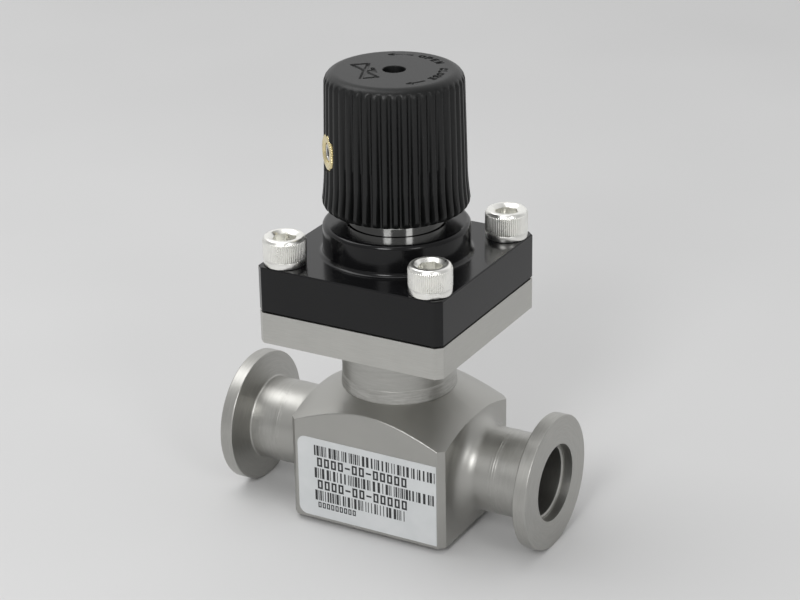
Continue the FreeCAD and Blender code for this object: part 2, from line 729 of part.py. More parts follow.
def make_cap_screw(index, sign_x, sign_y):
    """One socket-head cap screw, standing on its head's underside."""
    name = "screw_{}".format(index)
    edge = dim.screw_head_edge
    whole = turned(name + "_blank", [
        (ZERO, -dim.screw_shank_length),
        (dim.screw_shank_radius - edge, -dim.screw_shank_length),
        (dim.screw_shank_radius, -dim.screw_shank_length + edge),
        (dim.screw_shank_radius, ZERO),
        (dim.screw_head_radius, ZERO),
        (dim.screw_head_radius, dim.screw_head_height - edge),
        (dim.screw_head_radius - edge, dim.screw_head_height),
        (ZERO, dim.screw_head_height),
    ])
    socket = doc.addObject("Part::Prism", name + "_socket")
    socket.Polygon = 6
    bind(
        socket,
        Circumradius=dim.screw_socket_flats / SQRT_THREE,
        Height=dim.screw_socket_depth + BEYOND,
        Placement__Base__z=dim.screw_head_height - dim.screw_socket_depth,
    )
    screw = cut(name, whole, socket)
    bonnet_top = dim.flange_foot + dim.flange_height + dim.bonnet_height
    at_height(screw, bonnet_top)
    bind(
        screw,
        Placement__Base__x=dim.screw_offset * sign_x,
        Placement__Base__y=dim.screw_offset * sign_y,
    )
    return screw


def make_cap_screws():
    group = doc.addObject("Part::Compound", "cap_screws")
    corners = ((1, -1), (1, 1), (-1, 1), (-1, -1))
    group.Links = [make_cap_screw(index, *signs) for index, signs in enumerate(corners)]
    return keep(group, "bonnet_screws")


# ---------------------------------------------------------------- bellows, poppet and stem


def make_bellows_flange():
    hub = turned("bellows_hub", [
        (dim.bush_radius, dim.bellows_flange_foot),
        (dim.bellows_hub_radius, dim.bellows_flange_foot),
        (dim.bellows_hub_radius, dim.flange_foot + dim.flange_recess_floor),
        (dim.bellows_flange_radius, dim.flange_foot + dim.flange_recess_floor),
        (dim.bellows_flange_radius, dim.flange_foot + dim.flange_height),
        (dim.guide_hub_radius, dim.flange_foot + dim.flange_height),
        (dim.guide_hub_radius, dim.guide_hub_top),
        (dim.bush_radius, dim.guide_hub_top),
    ])
    at_height(hub, ZERO)
    return keep(hub, "bellows_flange")


def flatted_rod(name, radius, flats, height):
    """A round rod with two flats across Y, standing on its own zero."""
    rod = cylinder(name + "_round", radius, height)
    slab = doc.addObject("Part::Box", name + "_slab")
    bind(
        slab,
        Length=radius * 4,
        Width=flats,
        Height=height,
        Placement__Base__x=-radius * 2,
        Placement__Base__y=-flats / 2,
    )
    common = doc.addObject("Part::Common", name)
    common.Base = rod
    common.Tool = slab
    return common


def make_guide_bush():
    height = dim.guide_hub_top - dim.bellows_flange_foot
    outside = cylinder("bush_outside", dim.bush_radius, height)
    play = dim.stem_play
    hole = flatted_rod("bush_hole", dim.stem_radius + play, dim.stem_flats + play * 2, height)
    bush = cut("bush", outside, hole)
    at_height(bush, dim.bellows_flange_foot)
    return keep(bush, "stem_guide_bush")


def make_bellows():
    """Thin convolutions between the poppet and the bellows flange, turned from one zigzag."""
    foot = dim.poppet_disc_top.value
    top = dim.bellows_flange_foot.value
    steps = 2 * int(dim.bellows_folds.value)
    inner = dim.bellows_inner_radius.value
    outer = dim.bellows_outer_radius.value
    wall = dim.bellows_wall.value
    zigzag = []
    for step in range(steps + 1):
        radius = inner if step % 2 == 0 else outer - wall
        zigzag.append(Vector(radius, 0, foot + (top - foot) * step / steps))
    far_side = [point + Vector(wall, 0, 0) for point in reversed(zigzag)]
    section = Part.Face(Part.makePolygon(zigzag + far_side + zigzag[:1]))
    bellows = doc.addObject("Part::Feature", "bellows_folds")
    bellows.Shape = section.revolve(Vector(0, 0, 0), Vector(0, 0, 1), 360)
    bellows.Placement = Placement(Vector(0, 0, dim.port_axis_height.value), Rotation())
    return keep(bellows, "bellows")


def make_poppet():
    poppet = turned("poppet_body", [
        (ZERO, dim.poppet_foot),
        (dim.ring_slot_inner, dim.poppet_foot),
        (dim.ring_slot_inner, dim.ring_slot_floor),
        (dim.ring_slot_outer, dim.ring_slot_floor),
        (dim.ring_slot_outer, dim.poppet_foot),
        (dim.poppet_radius, dim.poppet_foot),
        (dim.poppet_radius, dim.poppet_disc_top),
        (dim.poppet_hub_radius, dim.poppet_disc_top),
        (dim.poppet_hub_radius, dim.poppet_hub_top),
        (dim.stem_spigot_radius, dim.poppet_hub_top),
        (dim.stem_spigot_radius, dim.poppet_socket_floor),
        (ZERO, dim.poppet_socket_floor),
    ])
    at_height(poppet, ZERO)
    keep(poppet, "poppet")
    seat_ring = doc.addObject("Part::Torus", "seat_ring")
    bind(seat_ring, Radius1=dim.ring_centre_radius, Radius2=dim.ring_section)
    at_height(seat_ring, dim.ring_height)
    return keep(seat_ring, "seat_seal")


def make_stem():
    guide = flatted_rod(
        "stem_guide", dim.stem_radius, dim.stem_flats, dim.stem_thread_foot - dim.poppet_hub_top
    )
    bind(guide, Placement__Base__z=dim.poppet_hub_top)
    ends = turned("stem_ends", [
        (ZERO, dim.poppet_socket_floor),
        (dim.stem_spigot_radius, dim.poppet_socket_floor),
        (dim.stem_spigot_radius, dim.stem_thread_foot),
        (dim.stem_radius, dim.stem_thread_foot),
        (dim.stem_radius, dim.stem_top - dim.stem_tip_chamfer),
        (dim.stem_radius - dim.stem_tip_chamfer, dim.stem_top),
        (ZERO, dim.stem_top),
    ])
    stem = doc.addObject("Part::Fuse", "stem_whole")
    stem.Base = ends
    stem.Tool = guide
    at_height(stem, ZERO)
    return keep(stem, "stem")


# ---------------------------------------------------------------- drive


def make_drive_nut():
    bore = dim.stem_radius + dim.thread_play
    nut = turned("nut_body", [
        (bore, dim.nut_foot),
        (dim.nut_flange_radius, dim.nut_foot),
        (dim.nut_flange_radius, dim.nut_flange_top),
        (dim.nut_radius, dim.nut_flange_top),
        (dim.nut_radius, dim.nut_top),
        (bore, dim.nut_top),
    ])
    at_height(nut, ZERO)
    return keep(nut, "drive_nut")


def make_drive_barrel():
    barrel = turned("barrel_body", [
        (dim.nut_radius, dim.nut_flange_top),
        (dim.barrel_hub_radius, dim.nut_flange_top),
        (dim.barrel_hub_radius, dim.barrel_flange_foot),
        (dim.barrel_flange_radius, dim.barrel_flange_foot),
        (dim.barrel_flange_radius, dim.barrel_flange_top),
        (dim.barrel_radius, dim.barrel_flange_top),
        (dim.barrel_radius, dim.barrel_top - dim.barrel_chamfer),
        (dim.barrel_radius - dim.barrel_chamfer, dim.barrel_top),
        (dim.barrel_bore_radius, dim.barrel_top),
        (dim.barrel_bore_radius, dim.nut_top),
        (dim.nut_radius, dim.nut_top),
    ])
    at_height(barrel, ZERO)
    return keep(barrel, "drive_barrel")


def make_washers():
    upper = ring(
        "washer_upper", dim.washer_radius, dim.washer_thrust_inner, dim.washer_thrust_height
    )
    at_height(upper, dim.washer_thrust_foot)
    keep(upper, "thrust_washer")
    lower = ring("washer_lower", dim.washer_radius, dim.washer_lower_inner, dim.washer_lower_height)
    at_height(lower, dim.washer_lower_foot)
    return keep(lower, "lower_washer")


def make_retaining_ring():
    whole = ring("retainer", dim.retainer_outer, dim.retainer_inner, dim.retainer_height)
    gap = doc.addObject("Part::Box", "retainer_gap_box")
    bind(
        gap,
        Length=dim.retainer_outer * 2,
        Width=dim.retainer_gap,
        Height=dim.retainer_height,
        Placement__Base__y=-dim.retainer_gap / 2,
    )
    split = cut("retainer_split", whole, gap)
    at_height(split, dim.retainer_foot)
    return keep(split, "retaining_ring")


# ---------------------------------------------------------------- knob


def radial_rod(name, radius, start, stop, sides=0):
    """A rod, or a six-sided one, along the insert's axis, between two radii of the knob."""
    length = stop - start
    if sides:
        rod = doc.addObject("Part::Prism", name)
        rod.Polygon = sides
        bind(rod, Circumradius=radius, Height=length)
    else:
        rod = cylinder(name, radius, length)
    outward = Vector(-1, -1, 0).normalize()
    rod.Placement.Rotation = Rotation(Vector(0, 0, 1), outward)
    diagonal = start * (-math.sqrt(0.5))
    bind(rod, Placement__Base__x=diagonal, Placement__Base__y=diagonal)
    at_height(rod, dim.insert_height)
    return rod


def make_knob():
    body = new_body("knob_body")
    at_height(body, ZERO)
    profile = new_sketch(body, "XZ_Plane", "knob_outline")
    foot_round = dim.knob_foot_round
    top_round = dim.knob_top_round
    mouth_top = dim.knob_foot + dim.knob_mouth_height
    draw_outline(profile, [
        (dim.knob_mouth_radius, dim.knob_foot),
        (dim.knob_foot_radius - foot_round, dim.knob_foot),
        (dim.knob_foot_radius, dim.knob_foot + foot_round, foot_round, 1),
        (dim.knob_waist_radius, dim.knob_waist_height, dim.knob_flare_round, -1),
        (dim.knob_shoulder_radius, dim.knob_top - top_round),
        (dim.knob_shoulder_radius - top_round, dim.knob_top, top_round, 1),
        (dim.knob_eye_radius, dim.knob_top),
        (dim.knob_eye_radius, dim.knob_bore_top),
        (dim.knob_bore_radius, dim.knob_bore_top),
        (dim.knob_bore_radius, mouth_top),
        (dim.knob_mouth_radius, mouth_top),
    ])
    revolve(body, profile, "V_Axis", "knob_turned")

    plan = new_sketch(body, "XY_Plane", "groove_plan")
    draw_outline(plan, [
        (dim.knob_groove_floor, -dim.knob_groove_floor_half),
        (dim.knob_groove_mouth, -dim.knob_groove_mouth_half),
        (dim.knob_groove_mouth, dim.knob_groove_mouth_half),
        (dim.knob_groove_floor, dim.knob_groove_floor_half),
    ])
    groove = pocket_up(body, plan, "groove")
    pattern = body.newObject("PartDesign::PolarPattern", "grooves")
    pattern.Originals = [groove]
    pattern.Axis = (plan, ["N_Axis"])
    pattern.Angle = 360.0
    bind(pattern, Occurrences=dim.knob_groove_count)
    body.Tip = pattern

    hole = radial_rod(
        "insert_hole",
        dim.insert_radius + dim.insert_play,
        dim.insert_foot - BEYOND,
        dim.insert_face + BEYOND * 2,
    )
    return keep(cut("knob_drilled", body, hole), "knob")


def make_insert():
    outside = radial_rod("insert_outside", dim.insert_radius, dim.insert_foot, dim.insert_face)
    bore = radial_rod(
        "insert_bore", dim.insert_bore_radius, dim.insert_foot - BEYOND, dim.insert_face + BEYOND
    )
    keep(cut("insert_drilled", outside, bore), "knob_insert")
    grub = radial_rod("grub_rod", dim.grub_radius, dim.grub_foot, dim.grub_face)
    socket = radial_rod(
        "grub_socket",
        dim.grub_socket_flats / SQRT_THREE,
        dim.grub_face - dim.grub_socket_depth,
        dim.grub_face + BEYOND,
        6,
    )
    return keep(cut("grub_whole", grub, socket), "knob_set_screw")


# ---------------------------------------------------------------- build, check and write


def main():
    make_valve_block()
    make_port_stub("right", 0)
    make_port_stub("left", 180)
    make_port_weld("right", 1)
    make_port_weld("left", -1)
    make_label()
    make_neck()
    make_body_flange()
    make_bonnet_seal()
    make_bonnet()
    make_cap_screws()
    make_bellows_flange()
    make_guide_bush()
    make_bellows()
    make_poppet()
    make_stem()
    make_drive_nut()
    make_drive_barrel()
    make_washers()
    make_retaining_ring()
    make_knob()
    make_insert()
    doc.recompute()

    for item in doc.Objects:
        if "Invalid" in item.State or "Error" in item.State:
            raise RuntimeError("{} failed: {}".format(item.Name, item.State))
    for item in subparts:
        if item.Shape.isNull() or not item.Shape.isValid():
            raise RuntimeError("{} has no valid shape".format(item.Label))
    os.makedirs("parts", exist_ok=True)
    for item in subparts:
        item.Shape.exportStep("parts/{}.step".format(item.Label))
        print("{:18s} {:10.1f} mm3 {:2d} solids".format(
            item.Label, item.Shape.Volume, len(item.Shape.Solids)
        ))


main()
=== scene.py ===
import math
import random

import bpy
import numpy as np
from mathutils import Matrix, Vector


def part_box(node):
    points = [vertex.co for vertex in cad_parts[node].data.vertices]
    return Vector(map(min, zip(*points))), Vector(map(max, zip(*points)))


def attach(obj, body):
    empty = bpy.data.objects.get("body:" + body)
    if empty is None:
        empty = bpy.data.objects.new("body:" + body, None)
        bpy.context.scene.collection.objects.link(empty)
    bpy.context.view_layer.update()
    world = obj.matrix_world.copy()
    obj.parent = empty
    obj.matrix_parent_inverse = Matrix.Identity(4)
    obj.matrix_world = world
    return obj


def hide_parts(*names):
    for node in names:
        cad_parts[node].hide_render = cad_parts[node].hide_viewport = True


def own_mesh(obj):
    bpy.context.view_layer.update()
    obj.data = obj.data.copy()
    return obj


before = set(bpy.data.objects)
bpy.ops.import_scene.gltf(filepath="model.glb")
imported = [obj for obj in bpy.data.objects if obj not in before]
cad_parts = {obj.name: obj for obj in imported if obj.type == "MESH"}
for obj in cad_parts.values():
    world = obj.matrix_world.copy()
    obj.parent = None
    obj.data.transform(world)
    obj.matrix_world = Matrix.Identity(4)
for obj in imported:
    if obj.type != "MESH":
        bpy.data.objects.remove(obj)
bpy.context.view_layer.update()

MM = 0.001
TAU = 2 * math.pi
SEED = 7

# The port axis is the middle of the flange rims. Heights below are in millimetres above it.
rim_low, rim_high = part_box("port_stub_right")
PORT_AXIS = (rim_low.z + rim_high.z) / 2 / MM


def extent(node):
    """The lowest and highest corner of a node in millimetres, with heights above the port axis."""
    low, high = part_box(node)
    shift = Vector((0, 0, PORT_AXIS))
    return low / MM - shift, high / MM - shift


# ---------------------------------------------------------------- outlines


def arc_points(centre, radius, start, stop, steps):
    """Points on an arc, ends included; angles in degrees."""
    angles = np.radians(np.linspace(start, stop, steps + 1))
    return [(centre[0] + radius * math.cos(a), centre[1] + radius * math.sin(a)) for a in angles]


# ---------------------------------------------------------------- meshes


def new_mesh(name, vertices, faces, material, smooth_angle=35):
    """A mesh object from points in millimetres above the port axis."""
    mesh = bpy.data.meshes.new(name)
    placed = [(x * MM, y * MM, (z + PORT_AXIS) * MM) for x, y, z in vertices]
    mesh.from_pydata(placed, [], faces)
    mesh.validate()
    mesh.shade_smooth()
    mesh.set_sharp_from_angle(angle=math.radians(smooth_angle))
    mesh.materials.append(material)
    piece = bpy.data.objects.new(name, mesh)
    bpy.context.scene.collection.objects.link(piece)
    return piece


def ring(rim, radius, height, segments):
    """Points round the Z axis; rim, when there is one, gives the radius at an angle and a height."""
    points = []
    for index in range(segments):
        angle = TAU * index / segments
        reach = rim(angle, radius, height) if rim else radius
        points.append((reach * math.cos(angle), reach * math.sin(angle), height))
    return points


def skin(rings, ends):
    """Points and quads that join rings. ends: "loop" joins the last to the first, "closed" caps both."""
    count = len(rings[0])
    points = [tuple(point) for one in rings for point in one]
    faces = []
    spans = len(rings) if ends == "loop" else len(rings) - 1
    for span in range(spans):
        low = span * count
        high = ((span + 1) % len(rings)) * count
        for index in range(count):
            after = (index + 1) % count
            faces.append((low + index, low + after, high + after, high + index))
    if ends == "closed":
        faces.append(tuple(reversed(range(count))))
        last = (len(rings) - 1) * count
        faces.append(tuple(range(last, last + count)))
    return points, faces


def lathe(outline, segments):
    """Rings from the steps of an outline: shape of the rim or None, radius, height."""
    return [ring(rim, radius, height, segments) for rim, radius, height in outline]


def loft(name, rings, material, ends, smooth_angle):
    """A piece whose skin joins rings."""
    points, faces = skin(rings, ends)
    return new_mesh(name, points, faces, material, smooth_angle)


def lay_along(piece, direction, centre):
    """Turn a piece built round +Z so that it points along a direction from a centre, in millimetres."""
    turn = Vector((0, 0, 1)).rotation_difference(Vector(direction)).to_matrix().to_4x4()
    to_axis = Matrix.Translation((0, 0, -PORT_AXIS * MM))
    place = Matrix.Translation((centre[0] * MM, centre[1] * MM, (centre[2] + PORT_AXIS) * MM))
    piece.data.transform(place @ turn @ to_axis)


def finish_piece(piece, body, slot, *replaced):
    """Say which body a piece rides on and hide the nodes that it stands in for; the slot is not used."""
    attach(piece, body)
    if replaced:
        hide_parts(*replaced)


# ---------------------------------------------------------------- materials

NOISE_MIDDLE = (0.3, 0.7)             # most of a noise's values lie between these
NOISE_CORE = (0.35, 0.65)             # a narrower part, for sharper lines


class Shader:
    """A small helper that builds one node material."""

    def __init__(self, name):
        self.material = bpy.data.materials.new(name)
        self.material.use_nodes = True
        self.nodes = self.material.node_tree.nodes
        self.links = self.material.node_tree.links
        self.surface = self.nodes["Principled BSDF"]
        self.coordinates = self.add("ShaderNodeTexCoord").outputs["Object"]

    def add(self, kind, **settings):
        """A new node with its settings."""
        node = self.nodes.new(kind)
        for key, value in settings.items():
            setattr(node, key, value)
        return node

    def connect(self, output, target):
        self.links.new(output, target)

    def set(self, **values):
        """Set sockets of the shader; an underscore in a name stands for a space."""
        for name, value in values.items():
            self.surface.inputs[name.replace("_", " ")].default_value = value

    def stretched(self, scale):
        """Object coordinates multiplied by a scale along each axis."""
        mapping = self.add("ShaderNodeMapping")
        mapping.inputs["Scale"].default_value = scale
        self.connect(self.coordinates, mapping.inputs["Vector"])
        return mapping.outputs["Vector"]

    def noise(self, vector, scale, detail, roughness=0.6):
        """Noise from 0 to 1 at a place."""
        node = self.add("ShaderNodeTexNoise")
        node.inputs["Scale"].default_value = scale
        node.inputs["Detail"].default_value = detail
        node.inputs["Roughness"].default_value = roughness
        self.connect(vector, node.inputs["Vector"])
        return node.outputs["Fac"]

    def ramp(self, factor, low, high, stops=NOISE_MIDDLE):
        """A colour, or a grey for a plain number, that runs from low to high as the factor rises."""
        node = self.add("ShaderNodeValToRGB")
        for element, value, place in zip(node.color_ramp.elements, (low, high), stops):
            grey = not isinstance(value, tuple)
            element.color = (value, value, value, 1) if grey else (*value, 1)
            element.position = place
        self.connect(factor, node.inputs["Fac"])
        return node.outputs["Color"]

    def soft_light(self, amount, under, over):
        """One colour laid over another as a soft light, by an amount from 0 to 1."""
        node = self.add("ShaderNodeMix", data_type="RGBA", blend_type="SOFT_LIGHT")
        node.inputs["Factor"].default_value = amount
        colours = [socket for socket in node.inputs if socket.type == "RGBA"]
        for socket, output in zip(colours, (under, over)):
            self.connect(output, socket)
        return next(socket for socket in node.outputs if socket.type == "RGBA")

    def calculate(self, operation, first, second=None):
        """One step of arithmetic on a socket, with another socket or a plain number."""
        node = self.add("ShaderNodeMath", operation=operation)
        self.connect(first, node.inputs[0])
        if isinstance(second, float):
            node.inputs[1].default_value = second
        elif second:
            self.connect(second, node.inputs[1])
        return node.outputs[0]

    def bump(self, *layers):
        """Layers of (height, distance in millimetres, strength), stacked."""
        previous = None
        for height, distance, strength in layers:
            node = self.add("ShaderNodeBump")
            node.inputs["Distance"].default_value = distance * MM
            node.inputs["Strength"].default_value = strength
            self.connect(height, node.inputs["Height"])
            if previous is not None:
                self.connect(previous, node.inputs["Normal"])
            previous = node.outputs["Normal"]
        self.connect(previous, self.surface.inputs["Normal"])

    def colour(self, output):
        self.connect(output, self.surface.inputs["Base Color"])

    def roughness(self, output):
        self.connect(output, self.surface.inputs["Roughness"])


STREAK_DRIFT = 0.0012                 # metres of texture for each radian round the axis


def around(shader, axis):
    """Radius, place along an axis and a little of the angle round it: for turned or brushed lines."""
    separate = shader.add("ShaderNodeSeparateXYZ")
    shader.connect(shader.coordinates, separate.inputs["Vector"])
    centre = {"X": 0.0, "Y": 0.0, "Z": PORT_AXIS * MM if axis == "X" else 0.0}
    across, aside = [
        shader.calculate("SUBTRACT", separate.outputs[name], centre[name]) for name in "XYZ" if name != axis
    ]
    squares = [shader.calculate("MULTIPLY", offset, offset) for offset in (across, aside)]
    radius = shader.calculate("SQRT", shader.calculate("ADD", squares[0], squares[1]))
    angle = shader.calculate("ARCTAN2", aside, across)
    drift = shader.calculate("MULTIPLY", angle, STREAK_DRIFT)
    join = shader.add("ShaderNodeCombineXYZ")
    for name, output in (("X", radius), ("Y", separate.outputs[axis]), ("Z", drift)):
        shader.connect(output, join.inputs[name])
    return join.outputs["Vector"]


def faded(colour, share):
    """A colour multiplied by a share, which may be over 1."""
    return tuple(value * share for value in colour)


STAINLESS = (0.450, 0.446, 0.424)
GROUND_STAINLESS = (0.54, 0.536, 0.509)
LINE_TINT = 0.14                      # how much turned lines tint the steel
GRAIN_TINT = 0.16                     # how much ground lines tint it


def satin_steel(name, base=STAINLESS, rough=(0.35, 0.45), lathe_axis=None, grain=None, line_tint=LINE_TINT):
    """Bead-blasted stainless steel, with turned lines round an axis or a ground grain where asked."""
    shader = Shader(name)
    shader.set(Metallic=1.0)
    cloud = shader.noise(shader.coordinates, scale=90, detail=3)
    blast = shader.noise(shader.coordinates, scale=6500, detail=2, roughness=0.7)
    tint = shader.ramp(cloud, faded(base, 0.93), base)
    layers = [(blast, 0.006, 0.35)]
    if lathe_axis:
        lines = shader.noise(around(shader, lathe_axis), scale=2600, detail=4, roughness=0.65)
        tint = shader.soft_light(line_tint, tint, shader.ramp(lines, 0.2, 0.9, NOISE_CORE))
        layers.append((lines, 0.012, 0.35))
    if grain:
        streaks = shader.noise(shader.stretched(grain), scale=1.0, detail=3)
        tint = shader.soft_light(GRAIN_TINT, tint, shader.ramp(streaks, 0.3, 0.8, NOISE_CORE))
        layers.append((streaks, 0.004, 0.3))
    shader.colour(tint)
    shader.roughness(shader.ramp(cloud, *rough))
    shader.bump(*layers)
    return shader.material


def glossy_anodised():
    """Black anodised aluminium, polished before it was coloured."""
    shader = Shader("glossy_black_anodised")
    shader.set(IOR=1.37)
    drift = shader.noise(shader.coordinates, scale=60, detail=3)
    fine = shader.noise(shader.stretched((9000, 900, 9000)), scale=1.0, detail=2)
    shader.colour(shader.ramp(drift, (0.004, 0.004, 0.0045), (0.006, 0.006, 0.0065)))
    shader.roughness(shader.ramp(fine, 0.13, 0.20))
    shader.bump((drift, 0.01, 0.08), (fine, 0.001, 0.15))
    return shader.material


def bright_metal(name, base, rough):
    """Plated or polished metal with faint lines turned round the stem's axis."""
    shader = Shader(name)
    shader.set(Metallic=1.0)
    lines = shader.noise(around(shader, "Z"), scale=6000, detail=2, roughness=0.5)
    smudge = shader.noise(shader.coordinates, scale=350, detail=3)
    shader.colour(shader.ramp(smudge, faded(base, 0.9), base, (0.3, 0.65)))
    shader.roughness(shader.ramp(smudge, *rough))
    shader.bump((lines, 0.001, 0.25), (smudge, 0.002, 0.1))
    return shader.material


def moulded_plastic(name, base, rough):
    """Satin moulded plastic with a fine texture."""
    shader = Shader(name)
    shader.set(IOR=1.42)
    grain = shader.noise(shader.coordinates, scale=5200, detail=3, roughness=0.65)
    cloud = shader.noise(shader.coordinates, scale=120, detail=3)
    shader.colour(shader.ramp(cloud, base, faded(base, 1.35), (0.3, 0.75)))
    shader.roughness(shader.ramp(grain, *rough))
    pits = shader.noise(shader.coordinates, scale=1500, detail=2)
    shader.bump((grain, 0.004, 0.5), (pits, 0.02, 0.35), (cloud, 0.02, 0.1))
    return shader.material


def rubber(name, base):
    """Smooth moulded rubber."""
    shader = Shader(name)
    shader.set(IOR=1.5)
    grain = shader.noise(shader.coordinates, scale=3000, detail=3)
    shader.colour(shader.ramp(grain, base, faded(base, 1.5)))
    shader.roughness(shader.ramp(grain, 0.45, 0.6))
    shader.bump((grain, 0.004, 0.4))
    return shader.material


def label_film():
    """The pale, slightly glossy film of the label."""
    shader = Shader("pale_label_film")
    shader.set(IOR=1.48)
    fibre = shader.noise(shader.coordinates, scale=2600, detail=3)
    cloud = shader.noise(shader.coordinates, scale=160, detail=2)
    shader.colour(shader.ramp(cloud, (0.60, 0.62, 0.625), (0.66, 0.675, 0.68)))
    shader.roughness(shader.ramp(fibre, 0.34, 0.46))
    shader.bump((fibre, 0.002, 0.4), (cloud, 0.02, 0.15))
    return shader.material


def label_ink():
    """The black ink printed on the film."""
    shader = Shader("black_label_ink")
    fibre = shader.noise(shader.coordinates, scale=2600, detail=3)
    shader.colour(shader.ramp(fibre, (0.012, 0.012, 0.013), (0.03, 0.03, 0.032)))
    shader.roughness(shader.ramp(fibre, 0.5, 0.6))
    shader.bump((fibre, 0.001, 0.3))
    return shader.material


STEEL = satin_steel("blasted_stainless")
TURNED_X = satin_steel("turned_stainless_x", rough=(0.34, 0.44), lathe_axis="X")
TURNED_Z = satin_steel("turned_stainless_z", rough=(0.34, 0.44), lathe_axis="Z")
PLATE_STEEL = satin_steel(
    "ground_stainless", base=GROUND_STAINLESS, rough=(0.36, 0.46), grain=(300, 300, 9000)
)
WELD_STEEL = satin_steel("weld_bead_stainless", rough=(0.38, 0.50), lathe_axis="Z", line_tint=0.4)
INNER_STEEL = satin_steel("inner_stainless", rough=(0.22, 0.34), lathe_axis="Z")
ANODISED = glossy_anodised()
PLATED = bright_metal("bright_plated", base=(0.98, 0.975, 0.935), rough=(0.25, 0.35))
POLISHED = bright_metal("polished_steel", base=(0.84, 0.84, 0.82), rough=(0.04, 0.08))
SPRING = bright_metal("spring_steel", base=(0.32, 0.31, 0.30), rough=(0.25, 0.38))
BRONZE = bright_metal("machined_bronze", base=(0.60, 0.40, 0.20), rough=(0.22, 0.34))
BRASS = bright_metal("machined_brass", base=(0.86, 0.74, 0.42), rough=(0.16, 0.28))
GRUB = bright_metal("set_screw_steel", base=(0.62, 0.61, 0.60), rough=(0.2, 0.3))
KNOB_PLASTIC = moulded_plastic("satin_black_plastic", base=(0.0035, 0.0038, 0.0038), rough=(0.32, 0.46))
SEAL = rubber("fluoroelastomer", base=(0.035, 0.018, 0.012))
FILM = label_film()
INK = label_ink()

CARRIED = {
    "valve_block": STEEL, "port_stub_left": TURNED_X, "port_stub_right": TURNED_X,
    "port_weld_left": WELD_STEEL, "port_weld_right": WELD_STEEL, "neck_tube": TURNED_Z,
    "neck_weld": WELD_STEEL, "body_flange": PLATE_STEEL, "name_label": FILM, "bonnet_seal": SEAL,
    "bonnet": ANODISED, "bonnet_screws": PLATED, "bellows_flange": INNER_STEEL,
    "stem_guide_bush": BRONZE, "bellows": INNER_STEEL, "poppet": INNER_STEEL, "seat_seal": SEAL,
    "stem": INNER_STEEL, "drive_nut": BRONZE, "drive_barrel": POLISHED, "thrust_washer": BRONZE,
    "lower_washer": BRONZE, "retaining_ring": SPRING, "knob": KNOB_PLASTIC, "knob_insert": BRASS,
    "knob_set_screw": GRUB,
}
for node, material in CARRIED.items():
    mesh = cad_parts[node].data
    mesh.materials.clear()
    mesh.materials.append(material)


# ---------------------------------------------------------------- knob

# Sizes of the knob in millimetres, with heights above the port axis
KNOB_LOW, KNOB_HIGH = extent("knob")
KNOB_FOOT = KNOB_LOW.z
KNOB_TOP = KNOB_HIGH.z
KNOB_FOOT_RADIUS = 15.8
KNOB_FOOT_ROUND = 1.9
KNOB_WAIST_RADIUS = 15.2
KNOB_WAIST = KNOB_FOOT + 10.5
KNOB_SHOULDER_RADIUS = 14.8
KNOB_TOP_ROUND = 2.5
KNOB_EYE_RADIUS = 2.45
KNOB_EYE_ROUND = 0.15
KNOB_BORE_RADIUS = 10.6
KNOB_BORE_TOP = KNOB_TOP - 7.45
KNOB_MOUTH_RADIUS = 12.4
KNOB_MOUTH_TOP = KNOB_FOOT + 2.5
COARSE_STEP = 0.6                     # between rings of points on the knob's side
FINE_STEP = 0.14                      # between rings beside the insert
TOP_RINGS = 70                        # on the flat top, close enough together to carry the engraving
BORE_CORNERS = 4                      # points at the end of the knob's outline, inside its bore
SAME_HEIGHT = 1e-6                    # two heights this close count as one

# Ribs: shares of the pitch are measured from the middle of a groove
RIB_COUNT = 44
SAMPLES_PER_RIB = 12
GROOVE_FLOOR_RADIUS = 14.3
GROOVE_FLOOR_SHARE = 0.06
RIB_CROWN_SHARE = 0.34
RIB_CROWN_FALL = 0.06
GROOVE_FADE = 0.12                    # softens the place where a groove runs out on the top rounding

# Engraving in the top. A stroke's size is half its width, and a span is two angles in degrees.
ENGRAVING_DEPTH = 0.35
ENGRAVING_EDGE = 0.10
WORD_FOOT_RADIUS = 9.65
WORD_HEIGHT = 1.35
WORD_STROKE = 0.19
LETTER_GAP = 0.15                     # before a letter, as a share of the letters' pitch
OPEN_SPAN = (88, 46)
CLOSE_SPAN = (30, -17)
OPEN_ARROW_SPAN = (97, 125)
CLOSE_ARROW_SPAN = (-24, -46)
ARROW_RADIUS = 10.3
ARROW_HEAD = 0.95
ARROW_STEPS = 8
SYMBOL_CENTRE = (-4.9, -3.7)
SYMBOL_TURN = -49
SYMBOL_HALF_LENGTH = 4.8
SYMBOL_HALF_HEIGHT = 1.75
SYMBOL_STEM = 1.1                     # length of the stem, in half heights of the bow tie
SYMBOL_BAR = 0.3                      # half the length of the bar, in half lengths of the bow tie
SYMBOL_STROKE = 0.32

# Brass insert in the knob's side, on an axis half way between -X and -Y
INSERT_DIRECTION = (-1, -1, 0)
INSERT_LOW, INSERT_HIGH = extent("knob_insert")
INSERT_HEIGHT = (INSERT_LOW.z + INSERT_HIGH.z) / 2
INSERT_RADIUS = (INSERT_HIGH.z - INSERT_LOW.z) / 2
INSERT_SEAT_RADIUS = INSERT_RADIUS - 0.15
INSERT_SEAT_FLOOR = 12.5

